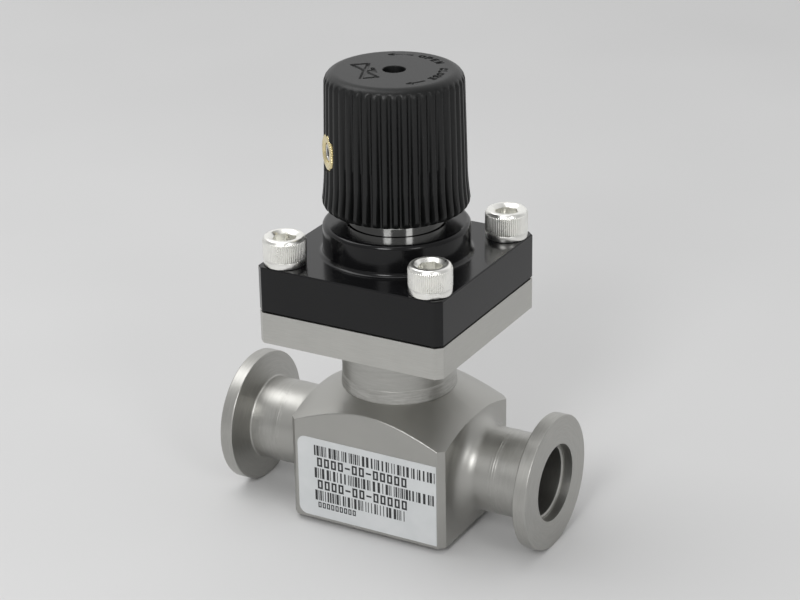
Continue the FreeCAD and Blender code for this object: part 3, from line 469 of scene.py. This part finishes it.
# Plain capital letters as strokes in a box one unit high
LETTERS = {
    "O": [arc_points((0.36, 0.5), 0.42, 0, 360, 16)],
    "C": [arc_points((0.40, 0.5), 0.45, 48, 312, 12)],
    "P": [[(0, 0), (0, 1), (0.45, 1), (0.66, 0.86), (0.66, 0.62), (0.45, 0.48), (0, 0.48)]],
    "E": [[(0.62, 0), (0, 0), (0, 1), (0.62, 1)], [(0, 0.52), (0.5, 0.52)]],
    "N": [[(0, 0), (0, 1), (0.7, 0), (0.7, 1)]],
    "L": [[(0, 1), (0, 0), (0.6, 0)]],
    "S": [[(0.64, 0.86), (0.45, 1), (0.2, 1), (0.02, 0.82), (0.1, 0.6),
           (0.56, 0.42), (0.66, 0.2), (0.48, 0), (0.2, 0), (0, 0.14)]],
}


def polar(radius, degrees):
    """A point on the top from its distance and angle round the knob's axis."""
    angle = math.radians(degrees)
    return (radius * math.cos(angle), radius * math.sin(angle))


def word_strokes(word, span):
    """A word round the top, read clockwise with its letters' heads outwards."""
    start, stop = span
    strokes = []
    pitch = (stop - start) / len(word)
    wide = math.degrees(WORD_HEIGHT / (WORD_FOOT_RADIUS + WORD_HEIGHT / 2))
    for index, letter in enumerate(word):
        left = start + pitch * (index + LETTER_GAP)
        for stroke in LETTERS[letter]:
            strokes.append([
                polar(WORD_FOOT_RADIUS + v * WORD_HEIGHT, left - u * wide) for u, v in stroke
            ])
    return strokes


def arrow_strokes(span):
    """An arrow along the edge of the top, from the first angle to its head at the second."""
    start, stop = span
    shaft = [
        polar(ARROW_RADIUS, start + (stop - start) * step / ARROW_STEPS) for step in range(ARROW_STEPS + 1)
    ]
    tip = shaft[-1]
    back = stop - math.copysign(math.degrees(ARROW_HEAD / ARROW_RADIUS), stop - start)
    barbs = [polar(ARROW_RADIUS + side * ARROW_HEAD / 2, back) for side in (-1, 1)]
    return [shaft, [barbs[0], tip, barbs[1]]]


def valve_symbol_strokes():
    """The plain drawing symbol of a hand valve: a bow tie with a stem and a bar."""
    length, height = SYMBOL_HALF_LENGTH, SYMBOL_HALF_HEIGHT
    bow_tie = [(-length, -height), (-length, height), (length, -height), (length, height)]
    handle_top = height * SYMBOL_STEM
    handle_half = length * SYMBOL_BAR
    shapes = [
        bow_tie + bow_tie[:1],
        [(0, 0), (0, handle_top)],
        [(-handle_half, handle_top), (handle_half, handle_top)],
    ]
    turn = math.radians(SYMBOL_TURN)
    return [
        [(SYMBOL_CENTRE[0] + x * math.cos(turn) - y * math.sin(turn),
          SYMBOL_CENTRE[1] + x * math.sin(turn) + y * math.cos(turn)) for x, y in shape]
        for shape in shapes
    ]


def inside_strokes(points, strokes, half_width):
    """1 for a point inside a stroke, 0 outside, with a narrow slope between."""
    nearest = np.full(len(points), np.inf)
    for stroke in strokes:
        for first, last in zip(stroke, stroke[1:]):
            first = np.array(first)
            span = np.array(last) - first
            along = np.clip((points - first) @ span / (span @ span), 0, 1)
            offsets = points - first - along[:, None] * span
            nearest = np.minimum(nearest, np.linalg.norm(offsets, axis=1))
    return np.clip((half_width + ENGRAVING_EDGE - nearest) / ENGRAVING_EDGE, 0, 1)


def knob_outline():
    """Half section of the knob with no grooves: up the outside, in over the top, down the bore."""
    foot = (KNOB_FOOT_RADIUS - KNOB_FOOT_ROUND, KNOB_FOOT + KNOB_FOOT_ROUND)
    shoulder = (KNOB_SHOULDER_RADIUS - KNOB_TOP_ROUND, KNOB_TOP - KNOB_TOP_ROUND)
    outline = [(KNOB_MOUTH_RADIUS, KNOB_FOOT)]
    outline += arc_points(foot, KNOB_FOOT_ROUND, -90, 0, 10)
    for share in np.linspace(0, 1, 15)[1:]:
        radius = KNOB_WAIST_RADIUS + (KNOB_FOOT_RADIUS - KNOB_WAIST_RADIUS) * (1 - share) ** 2
        outline.append((radius, foot[1] + (KNOB_WAIST - foot[1]) * share))
    height = KNOB_WAIST
    while height < shoulder[1] - COARSE_STEP:
        beside_insert = abs(height - INSERT_HEIGHT) < INSERT_RADIUS + COARSE_STEP
        height += FINE_STEP if beside_insert else COARSE_STEP
        share = (height - KNOB_WAIST) / (shoulder[1] - KNOB_WAIST)
        radius = KNOB_WAIST_RADIUS + (KNOB_SHOULDER_RADIUS - KNOB_WAIST_RADIUS) * share
        outline.append((radius, height))
    outline += arc_points(shoulder, KNOB_TOP_ROUND, 0, 90, 14)[1:]
    eye_edge = KNOB_EYE_RADIUS + KNOB_EYE_ROUND
    outline += [(radius, KNOB_TOP) for radius in np.linspace(shoulder[0], eye_edge, TOP_RINGS)[1:]]
    outline += arc_points((eye_edge, KNOB_TOP - KNOB_EYE_ROUND), KNOB_EYE_ROUND, 90, 180, 3)[1:]
    outline += [
        (KNOB_EYE_RADIUS, KNOB_BORE_TOP),
        (KNOB_BORE_RADIUS, KNOB_BORE_TOP),
        (KNOB_BORE_RADIUS, KNOB_MOUTH_TOP),
        (KNOB_MOUTH_RADIUS, KNOB_MOUTH_TOP),
    ]
    return outline


def grooved(angle, radius, height):
    """Radius of the knob's skin at an angle: lower in a groove, slightly crowned on a rib."""
    pitch = TAU / RIB_COUNT
    place = (angle / pitch) % 1.0
    from_groove = min(place, 1 - place)
    slope = (from_groove - GROOVE_FLOOR_SHARE) / (RIB_CROWN_SHARE - GROOVE_FLOOR_SHARE)
    slope = min(max(slope, 0.0), 1.0)
    on_rib = slope * slope * (3 - 2 * slope)
    spare = radius - GROOVE_FLOOR_RADIUS
    depth = (spare + math.hypot(spare, GROOVE_FADE)) / 2
    crown = max(0.5 - from_groove, 0.0) * RIB_CROWN_FALL * 2
    return radius - depth * (1 - on_rib) - crown * min(depth, 1.0) * on_rib


def make_knob():
    """The ribbed knob, with its top engraved and a flat seat in its side for the insert."""
    outline = knob_outline()
    skin_end = len(outline) - BORE_CORNERS
    rings = []
    for index, (radius, height) in enumerate(outline):
        on_skin = radius > KNOB_BORE_RADIUS and 0 < index < skin_end
        rings.append(ring(grooved if on_skin else None, radius, height, RIB_COUNT * SAMPLES_PER_RIB))
    points = np.array(rings).reshape(-1, 3)

    lettering = word_strokes("OPEN", OPEN_SPAN) + word_strokes("CLOSE", CLOSE_SPAN)
    lettering += arrow_strokes(OPEN_ARROW_SPAN) + arrow_strokes(CLOSE_ARROW_SPAN)
    top = np.abs(points[:, 2] - KNOB_TOP) < SAME_HEIGHT
    flat = points[top][:, :2]
    carved = np.maximum(
        inside_strokes(flat, lettering, WORD_STROKE),
        inside_strokes(flat, valve_symbol_strokes(), SYMBOL_STROKE),
    )
    points[top, 2] -= ENGRAVING_DEPTH * carved

    outward = np.array(Vector(INSERT_DIRECTION).normalized())
    depth = points @ outward
    across = points - np.array((0, 0, INSERT_HEIGHT))
    aside = np.linalg.norm(across - np.outer(depth, outward), axis=1)
    seated = (aside < INSERT_SEAT_RADIUS) & (depth > INSERT_SEAT_FLOOR)
    points[seated] += np.outer(INSERT_SEAT_FLOOR - depth[seated], outward)
    rings = points.reshape(len(outline), -1, 3)
    knob = loft("ribbed_knob", rings, KNOB_PLASTIC, "loop", smooth_angle=50)
    finish_piece(knob, "drive", "black_plastic", "knob")


# ---------------------------------------------------------------- insert and set screw

INSERT_TEETH = 44
INSERT_TOOTH = 0.22
INSERT_KNURL_FOOT = 12.2
INSERT_FOOT_LENGTH = 1.5
INSERT_FOOT_RADIUS = INSERT_RADIUS - 0.4
INSERT_BORE_RADIUS = 2.05
DISH_RADIUS = INSERT_BORE_RADIUS + 0.75
DISH_DEPTH = 0.08
SEGMENTS_PER_TOOTH = 8
GRUB_RADIUS = INSERT_BORE_RADIUS - 0.05
GRUB_CHAMFER = 0.3
GRUB_FACE_DROP = 0.3
GRUB_LENGTH = 4.1
GRUB_SOCKET_DEPTH = 2.2
GRUB_SOCKET_HALF_FLATS = 1.0


def toothed(count, depth, sharpness=1.0):
    """A ring whose rim has straight teeth: a function for ring()."""
    def rim(angle, radius, height):
        wave = 0.5 - 0.5 * math.cos(angle * count)
        return radius - depth * (1 - wave) ** sharpness
    return rim


def hexagonal(corner_round):
    """A ring in the shape of a hexagon whose inner radius is the given one, with eased corners."""
    def side(angle, radius, height):
        sixth = TAU / 6
        offset = (angle + sixth / 2) % sixth - sixth / 2
        return min(radius / math.cos(offset), radius / math.cos(sixth / 2) - corner_round)
    return side


def insert_face():
    """Distance of the insert's outer face from the knob's axis."""
    # The face stands square to a direction half way between two axes, so the insert reaches out along
    # each of them by the face's distance plus the radius, both times the sine of 45 degrees.
    reach = max(abs(INSERT_LOW.x), abs(INSERT_LOW.y))
    return (reach - INSERT_RADIUS * math.sqrt(0.5)) * math.sqrt(2)


def make_insert():
    """The knurled brass insert, built round +Z and then laid along its own axis."""
    face = insert_face()
    foot = INSERT_KNURL_FOOT - INSERT_FOOT_LENGTH
    knurl = toothed(INSERT_TEETH, INSERT_TOOTH)
    rings = lathe([
        (None, INSERT_FOOT_RADIUS, foot),
        (None, INSERT_FOOT_RADIUS, INSERT_KNURL_FOOT),
        (knurl, INSERT_RADIUS - 0.1, INSERT_KNURL_FOOT + 0.1),
        (knurl, INSERT_RADIUS, INSERT_KNURL_FOOT + 0.3),
        (knurl, INSERT_RADIUS, face - 0.35),
        (knurl, INSERT_RADIUS - 0.05, face - 0.2),
        (None, INSERT_RADIUS - 0.28, face - 0.06),
        (None, INSERT_RADIUS - 0.42, face),
        (None, DISH_RADIUS + 0.1, face),
        (None, DISH_RADIUS, face - DISH_DEPTH),
        (None, INSERT_BORE_RADIUS + 0.3, face - DISH_DEPTH),
        (None, INSERT_BORE_RADIUS, face - 0.3),
        (None, INSERT_BORE_RADIUS, foot),
    ], INSERT_TEETH * SEGMENTS_PER_TOOTH)
    insert = loft("brass_insert", rings, BRASS, "loop", smooth_angle=32)
    lay_along(insert, INSERT_DIRECTION, (0, 0, INSERT_HEIGHT))
    finish_piece(insert, "drive", "brass", "knob_insert")


def make_set_screw():
    """The set screw inside the insert, with a hexagonal socket."""
    face = insert_face() - GRUB_FACE_DROP
    end = face - GRUB_LENGTH
    socket = hexagonal(0.06)
    rings = lathe([
        (None, GRUB_RADIUS - GRUB_CHAMFER, end),
        (None, GRUB_RADIUS, end + GRUB_CHAMFER),
        (None, GRUB_RADIUS, face - GRUB_CHAMFER),
        (None, GRUB_RADIUS - 0.25, face - 0.04),
        (None, GRUB_RADIUS - 0.35, face),
        (None, GRUB_SOCKET_HALF_FLATS + 0.22, face),
        (socket, GRUB_SOCKET_HALF_FLATS, face - 0.2),
        (socket, GRUB_SOCKET_HALF_FLATS, face - GRUB_SOCKET_DEPTH),
    ], INSERT_TEETH * SEGMENTS_PER_TOOTH)
    grub = loft("set_screw", rings, GRUB, "closed", smooth_angle=32)
    lay_along(grub, INSERT_DIRECTION, (0, 0, INSERT_HEIGHT))
    finish_piece(grub, "drive", "inner_stainless", "knob_set_screw")


# ---------------------------------------------------------------- cap screws

# Heights of a screw are measured from the top of the bonnet's square part
SCREW_LOW, SCREW_HIGH = extent("bonnet_screws")
SCREW_HEAD_RADIUS = 4.68
SCREW_HEAD_HEIGHT = 6.35
SCREW_SEAT = SCREW_HIGH.z - SCREW_HEAD_HEIGHT
SCREW_OFFSET = SCREW_HIGH.x - SCREW_HEAD_RADIUS
SCREW_SHANK_RADIUS = 3.17
SCREW_SHANK_LENGTH = SCREW_SEAT - SCREW_LOW.z
SCREW_THREAD_PITCH = 1.27
SCREW_THREAD_DEPTH = 0.35
SCREW_TEETH = 64
SCREW_TOOTH = 0.23
SCREW_TOOTH_SHARPNESS = 5.0
SEGMENTS_PER_SCREW_TOOTH = 6
SCREW_BAND_TOP = 1.45                 # of the plain band under the knurl
SCREW_BAND_INSET = 0.06
SCREW_EDGE_INSET = 0.12
SCREW_KNURL_TOP = 5.5
SCREW_SOCKET_HALF_FLATS = 2.38
SCREW_SOCKET_DEPTH = 3.2
SCREW_SOCKET_BEVEL = 0.70             # depth of the cone round the socket's mouth
SCREW_SOCKET_POINT = 0.7              # depth of the drilled point under the socket
SCREW_PLACES = ((1, -1, 10), (1, 1, 34), (-1, 1, 52), (-1, -1, 22))     # side in x and y, turn in degrees


def screw_rings(segments):
    """One socket-head cap screw from the end of its shank to the point under its socket."""
    end = -SCREW_SHANK_LENGTH
    root = SCREW_SHANK_RADIUS - SCREW_THREAD_DEPTH
    shank = [(None, root - 0.2, end)]
    for turn in range(int(SCREW_SHANK_LENGTH / SCREW_THREAD_PITCH)):
        foot = end + 0.3 + turn * SCREW_THREAD_PITCH
        shank.append((None, root, foot))
        shank.append((None, SCREW_SHANK_RADIUS, foot + SCREW_THREAD_PITCH / 2))
    shank.append((None, root, -0.1))

    knurl = toothed(SCREW_TEETH, SCREW_TOOTH, SCREW_TOOTH_SHARPNESS)
    rim = SCREW_HEAD_RADIUS
    top = SCREW_HEAD_HEIGHT
    head = [
        (None, rim - 0.35, 0.0),
        (None, rim - SCREW_EDGE_INSET, 0.12),
        (None, rim - SCREW_BAND_INSET, 0.35),
        (None, rim - SCREW_BAND_INSET, SCREW_BAND_TOP - 0.15),
        (None, rim - SCREW_EDGE_INSET, SCREW_BAND_TOP),
        (knurl, rim - 0.03, SCREW_BAND_TOP + 0.15),
        (knurl, rim, SCREW_BAND_TOP + 0.35),
        (knurl, rim, SCREW_KNURL_TOP - 0.2),
        (knurl, rim - 0.05, SCREW_KNURL_TOP),
        (None, rim - 0.20, SCREW_KNURL_TOP + 0.12),
        (None, rim - 0.26, top - 0.38),
        (None, rim - 0.48, top - 0.14),
        (None, rim - 0.88, top),
    ]
    hexagon = hexagonal(0.12)
    mouth = SCREW_SOCKET_HALF_FLATS
    floor = top - SCREW_SOCKET_DEPTH
    socket = [
        (None, mouth + 1.02, top),
        (None, mouth + 0.92, top - 0.05),
        (hexagon, mouth, top - SCREW_SOCKET_BEVEL),
        (hexagon, mouth, floor),
        (None, 0.3, floor - SCREW_SOCKET_POINT),
    ]
    return lathe(shank + head + socket, segments)


def make_cap_screws():
    """Four cap screws as one piece, each with its socket turned differently."""
    rings = np.array(screw_rings(SCREW_TEETH * SEGMENTS_PER_SCREW_TOOTH))
    vertices = []
    faces = []
    for side_x, side_y, turn in SCREW_PLACES:
        angle = math.radians(turn)
        spin = np.array(((math.cos(angle), -math.sin(angle)), (math.sin(angle), math.cos(angle))))
        placed = rings.copy()
        placed[:, :, :2] = rings[:, :, :2] @ spin.T
        placed += (side_x * SCREW_OFFSET, side_y * SCREW_OFFSET, SCREW_SEAT)
        points, quads = skin(placed, "closed")
        faces += [tuple(corner + len(vertices) for corner in quad) for quad in quads]
        vertices += points
    screws = new_mesh("cap_screws", vertices, faces, PLATED, smooth_angle=40)
    finish_piece(screws, "valve_body", "bright_plated_steel", "bonnet_screws")


# ---------------------------------------------------------------- weld beads

NECK_WELD_LOW, NECK_WELD_HIGH = extent("neck_weld")
NECK_RADIUS = extent("neck_tube")[1].x
NECK_WELD_SEGMENTS = 360
NECK_WELD_RINGS = 41
NECK_WELD_MARGIN = 0.06               # room for the ripples inside the CAD bead's radius
NECK_WELD_ROOT = 0.3                  # how far the bead reaches into the neck
NECK_WELD_FOOT = 0.07                 # share of the height over which the bead rises from the block
NECK_WELD_NOTCH = 0.08                # share of the height taken by the notch at the top
NECK_WELD_NOTCH_DEPTH = 0.45
NECK_WELD_SWELL = 0.95
NECK_WELD_TAPER = 0.85
NECK_WELD_EDGE_DROP = 0.2
PORT_WELD_LOW, PORT_WELD_HIGH = extent("port_weld_right")
PORT_TUBE_RADIUS = 9.42
PORT_WELD_SEGMENTS = 240
PORT_WELD_RINGS = 31
PORT_WELD_ROOT = 0.2
PORT_WELD_SWELL = 0.35
PORT_WELD_RIDGE = 0.5
PORT_RIDGES = 3
LEAN = 2.5                            # most that a ripple leans, in radians for each millimetre of height


def ripple_field(waves, low, high, amount):
    """A sum of waves in random phases from the seed, each with low to high crests round a bead."""
    chance = random.Random(SEED)
    terms = [
        (chance.randint(low, high), chance.uniform(-LEAN, LEAN), chance.uniform(0, TAU))
        for _ in range(waves)
    ]

    def field(angle, height):
        total = sum(math.sin(count * angle + lean * height + phase) for count, lean, phase in terms)
        return amount * total / math.sqrt(waves)
    return field


def neck_weld_swell(share):
    """How far the bead stands out at a share of its height: most at the foot, a fine notch at the top."""
    notch_foot = 1 - NECK_WELD_NOTCH
    if share > notch_foot:
        return -NECK_WELD_NOTCH_DEPTH * math.sin((share - notch_foot) / NECK_WELD_NOTCH * math.pi)
    foot = math.sin(min(1.0, share / NECK_WELD_FOOT) * math.pi / 2)
    return foot * (NECK_WELD_SWELL - NECK_WELD_TAPER * share)


def make_neck_weld():
    """A broad flat bead at the foot of the neck, with an uneven upper edge."""
    ripple = ripple_field(waves=14, low=9, high=95, amount=0.028)
    wander = ripple_field(waves=6, low=1, high=7, amount=0.13)
    proud = NECK_WELD_HIGH.x - NECK_RADIUS - NECK_WELD_MARGIN
    height = NECK_WELD_HIGH.z - NECK_WELD_LOW.z
    rings = []
    for share in np.linspace(0, 1, NECK_WELD_RINGS):
        swell = neck_weld_swell(share)

        def bead(angle, radius, level, swell=swell):
            return radius + swell * ripple(angle, level)
        level = NECK_WELD_LOW.z + height * share
        points = np.array(ring(bead, NECK_RADIUS + proud * swell, level, NECK_WELD_SEGMENTS))
        angles = np.arctan2(points[:, 1], points[:, 0])
        points[:, 2] += [(wander(angle, 0) - NECK_WELD_EDGE_DROP) * share for angle in angles]
        rings.append(points)
    for end in (NECK_WELD_HIGH.z, NECK_WELD_LOW.z):
        rings.append(ring(None, NECK_RADIUS - NECK_WELD_ROOT, end, NECK_WELD_SEGMENTS))
    weld = loft("neck_weld_bead", rings, WELD_STEEL, "loop", smooth_angle=60)
    finish_piece(weld, "valve_body", "satin_stainless", "neck_weld")


def make_port_weld(side, sign):
    """A bead ground nearly flush, with a few faint ridges left in it."""
    ripple = ripple_field(waves=10, low=11, high=60, amount=0.006)
    width = PORT_WELD_HIGH.x - PORT_WELD_LOW.x
    proud = PORT_WELD_HIGH.z - PORT_TUBE_RADIUS
    middle = (PORT_WELD_HIGH.x + PORT_WELD_LOW.x) / 2
    rings = []
    for share in np.linspace(0, 1, PORT_WELD_RINGS):
        swell = math.sin(share * math.pi)
        ridge = 0.5 - 0.5 * math.cos(share * TAU * PORT_RIDGES)

        def bead(angle, radius, level, swell=swell):
            return radius + swell * ripple(angle, level)
        radius = PORT_TUBE_RADIUS + proud * swell * (PORT_WELD_SWELL + PORT_WELD_RIDGE * ridge)
        rings.append(ring(bead, radius, width * (share - 0.5), PORT_WELD_SEGMENTS))
    for end in (0.5, -0.5):
        rings.append(ring(None, PORT_TUBE_RADIUS - PORT_WELD_ROOT, width * end, PORT_WELD_SEGMENTS))
    weld = loft("port_weld_bead_" + side, rings, TURNED_X, "loop", smooth_angle=60)
    lay_along(weld, (sign, 0, 0), (sign * middle, 0, 0))
    finish_piece(weld, "valve_body", "satin_stainless", "port_weld_" + side)


# ---------------------------------------------------------------- bellows

BELLOWS_LOW, BELLOWS_HIGH = extent("bellows")
BELLOWS_INNER_RADIUS = 6.4
BELLOWS_WALL = 0.3
BELLOWS_FOLDS = 10
STEPS_PER_FOLD = 12
BELLOWS_SEGMENTS = 96


def make_bellows():
    """Thin round-edged folds, with a mesh of their own."""
    height = BELLOWS_HIGH.z - BELLOWS_LOW.z
    depth = BELLOWS_HIGH.x - BELLOWS_WALL - BELLOWS_INNER_RADIUS
    steps = BELLOWS_FOLDS * STEPS_PER_FOLD
    wave = []
    for step in range(steps + 1):
        swell = 0.5 - 0.5 * math.cos(TAU * step / STEPS_PER_FOLD)
        wave.append((BELLOWS_INNER_RADIUS + depth * swell, BELLOWS_LOW.z + height * step / steps))
    outside = [(None, radius + BELLOWS_WALL, place) for radius, place in wave]
    inside = [(None, radius, place) for radius, place in reversed(wave)]
    rings = lathe(outside + inside, BELLOWS_SEGMENTS)
    bellows = loft("bellows_folds", rings, INNER_STEEL, "loop", smooth_angle=70)
    finish_piece(bellows, "valve_body", "inner_stainless", "bellows")
    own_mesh(bellows)


# ---------------------------------------------------------------- print on the label

LABEL_LOW, LABEL_HIGH = extent("name_label")
INK_THICKNESS = 0.015
PRINT_LEFT = LABEL_LOW.x + 4.2
PRINT_RIGHT = LABEL_HIGH.x + 0.1      # every bar starts further from this than the widest bar's width
LAST_ROW_SHORTER = 7.3
FIRST_ROW = LABEL_HIGH.z - 4.1        # the foot of the first row of bars
ROW_HEIGHT = 2.5
ROW_PITCH = 5.5
BAR_WIDTHS = (0.20, 0.20, 0.40, 0.60)
BAR_GAPS = (0.22, 0.22, 0.42, 0.60)
BOX_INDENT = 0.7
BOX_DROP = 0.4                        # from a row of bars to the boxes under it
BOX_WIDTH = 1.28
BOX_HEIGHT = 2.2
BOX_PITCH = 1.76
BOX_LINE = 0.42
FULL_BOXES = 1.0
SMALL_BOXES = 0.62                    # size of the last line beside the others

# One row of bars and the line of boxes under it: right end of the bars, pattern and size of the boxes
PRINT_ROWS = (
    (PRINT_RIGHT, "oooo-oo-ooooo", FULL_BOXES),
    (PRINT_RIGHT, "oooo-oo-ooooo", FULL_BOXES),
    (PRINT_RIGHT - LAST_ROW_SHORTER, "ooooooooo", SMALL_BOXES),
)


def bar_row(left, right, low, high, chance):
    """Bars of random width and spacing, as (left, right, low, high)."""
    bars = []
    place = left
    while place < right - max(BAR_WIDTHS):
        width = chance.choice(BAR_WIDTHS)
        bars.append((place, place + width, low, high))
        place += width + chance.choice(BAR_GAPS)
    return bars


def box_row(left, foot, pattern, scale):
    """A line of plain open boxes where the label has writing; a dash stands for itself."""
    marks = []
    line = BOX_LINE * scale
    for index, mark in enumerate(pattern):
        start = left + index * BOX_PITCH * scale
        stop = start + BOX_WIDTH * scale
        head = foot + BOX_HEIGHT * scale
        if mark == "-":
            middle = (foot + head) / 2
            marks.append((start, stop, middle - line / 2, middle + line / 2))
        if mark == "o":
            marks.append((start, stop, foot, foot + line))
            marks.append((start, stop, head - line, head))
            marks.append((start, start + line, foot + line, head - line))
            marks.append((stop - line, stop, foot + line, head - line))
    return marks


def make_label_print():
    """Rows of bars and of plain boxes, as thin blocks on the face of the label."""
    chance = random.Random(SEED)
    marks = []
    for row, (right, pattern, scale) in enumerate(PRINT_ROWS):
        foot = FIRST_ROW - row * ROW_PITCH
        marks += bar_row(PRINT_LEFT, right, foot, foot + ROW_HEIGHT, chance)
        marks += box_row(PRINT_LEFT + BOX_INDENT, foot - BOX_DROP - BOX_HEIGHT * scale, pattern, scale)
    front = LABEL_LOW.y - INK_THICKNESS
    back = LABEL_LOW.y
    vertices = []
    faces = []
    for x0, x1, z0, z1 in marks:
        base = len(vertices)
        for y in (front, back):
            vertices += [(x0, y, z0), (x1, y, z0), (x1, y, z1), (x0, y, z1)]
        faces.append((base, base + 1, base + 2, base + 3))
        for edge in range(4):
            after = (edge + 1) % 4
            faces.append((base + after, base + edge, base + 4 + edge, base + 4 + after))
    print_piece = new_mesh("label_print", vertices, faces, INK)
    finish_piece(print_piece, "valve_body", "label_film")


# ---------------------------------------------------------------- floor, light and camera

FLOOR_REACH = 1500 * MM


def make_floor():
    """A plain pale floor."""
    shader = Shader("pale_floor")
    cloud = shader.noise(shader.coordinates, scale=6, detail=2)
    shader.colour(shader.ramp(cloud, (0.62, 0.62, 0.62), (0.66, 0.66, 0.66)))
    shader.roughness(shader.ramp(cloud, 0.75, 0.85, (0.0, 1.0)))
    shader.bump((cloud, 0.2, 0.05))
    mesh = bpy.data.meshes.new("floor")
    corners = [(x * FLOOR_REACH, y * FLOOR_REACH, 0) for x, y in ((-1, -1), (1, -1), (1, 1), (-1, 1))]
    mesh.from_pydata(corners, [], [(0, 1, 2, 3)])
    mesh.materials.append(shader.material)
    floor = bpy.data.objects.new("floor", mesh)
    bpy.context.scene.collection.objects.link(floor)


# The four soft lights: name, place and size in metres, power in watts
LIGHTS = (
    ("key", (0.10, -0.80, 0.60), (0.26, 0.38), 3.0),
    ("fill", (0.72, -0.45, 0.50), (0.22, 0.32), 1.05),
    ("left", (-0.52, -0.04, 0.86), (0.50, 0.50), 2.2),
    ("overhead", (-0.05, -0.05, 0.95), (0.35, 0.35), 0.8),
)
LIGHT_AIM = (0, 0, 0.05)


def area_light(name, place, size, power):
    """A white rectangle of light that faces the middle of the object."""
    light = bpy.data.lights.new(name, "AREA")
    light.shape = "RECTANGLE"
    light.size, light.size_y = size
    light.energy = power
    lamp = bpy.data.objects.new(name, light)
    lamp.location = place
    lamp.rotation_mode = "QUATERNION"
    lamp.rotation_quaternion = (Vector(LIGHT_AIM) - Vector(place)).to_track_quat("-Z", "Y")
    bpy.context.scene.collection.objects.link(lamp)


# The surroundings: strength in front of the object and behind it, and which way behind is
WORLD_FRONT = 0.46
WORLD_BACK = 0.86
WORLD_FULL_BACK = 0.8                 # how far round towards the back the full strength begins
TOWARDS_BACK = (-0.35, 0.90, 0.10)


def make_world():
    """Soft white surroundings, brighter behind the object than in front of it."""
    world = bpy.data.worlds.new("studio")
    world.use_nodes = True
    nodes = world.node_tree.nodes
    links = world.node_tree.links
    background = nodes["Background"]
    background.inputs["Color"].default_value = (1, 1, 1, 1)
    direction = nodes.new("ShaderNodeTexCoord")
    facing = nodes.new("ShaderNodeVectorMath")
    facing.operation = "DOT_PRODUCT"
    facing.inputs[1].default_value = TOWARDS_BACK
    links.new(direction.outputs["Generated"], facing.inputs[0])
    strength = nodes.new("ShaderNodeMapRange")
    strength.interpolation_type = "SMOOTHSTEP"
    strength.inputs["From Min"].default_value = 0.0
    strength.inputs["From Max"].default_value = WORLD_FULL_BACK
    strength.inputs["To Min"].default_value = WORLD_FRONT
    strength.inputs["To Max"].default_value = WORLD_BACK
    links.new(facing.outputs["Value"], strength.inputs["Value"])
    links.new(strength.outputs["Result"], background.inputs["Strength"])
    bpy.context.scene.world = world


# The camera: where it stands round the object, in degrees, and what it looks at, in millimetres.
CAMERA_AZIMUTH = 29.31
CAMERA_ELEVATION = 23.33
CAMERA_ROLL = -0.98
CAMERA_DISTANCE = 494.7
CAMERA_AIM = (3.06, -4.61, 37.80)     # the height is above the port axis
CAMERA_LENS = 103.95
CAMERA_SENSOR = 36
CAMERA_NEAR = 10
CAMERA_FAR = 10000


def make_camera():
    """A camera at the photograph's viewing angle."""
    data = bpy.data.cameras.new("camera")
    data.sensor_width = CAMERA_SENSOR
    data.lens = CAMERA_LENS
    data.clip_start = CAMERA_NEAR * MM
    data.clip_end = CAMERA_FAR * MM
    camera = bpy.data.objects.new("camera", data)
    azimuth = math.radians(CAMERA_AZIMUTH)
    elevation = math.radians(CAMERA_ELEVATION)
    back = Vector((
        math.sin(azimuth) * math.cos(elevation),
        -math.cos(azimuth) * math.cos(elevation),
        math.sin(elevation),
    ))
    right = Vector((math.cos(azimuth), math.sin(azimuth), 0))
    upward = back.cross(right)
    roll = math.radians(CAMERA_ROLL)
    across = right * math.cos(roll) + upward * math.sin(roll)
    above = upward * math.cos(roll) - right * math.sin(roll)
    turn = Matrix((across, above, back)).transposed().to_4x4()
    aim = Vector(CAMERA_AIM) + Vector((0, 0, PORT_AXIS))
    camera.matrix_world = Matrix.Translation((aim + back * CAMERA_DISTANCE) * MM) @ turn
    bpy.context.scene.collection.objects.link(camera)
    bpy.context.scene.camera = camera


make_knob()
make_insert()
make_set_screw()
make_cap_screws()
make_neck_weld()
make_port_weld("right", 1)
make_port_weld("left", -1)
make_bellows()
make_label_print()

make_floor()
make_world()
make_camera()
for light in LIGHTS:
    area_light(*light)
bpy.context.scene.view_settings.view_transform = "Standard"
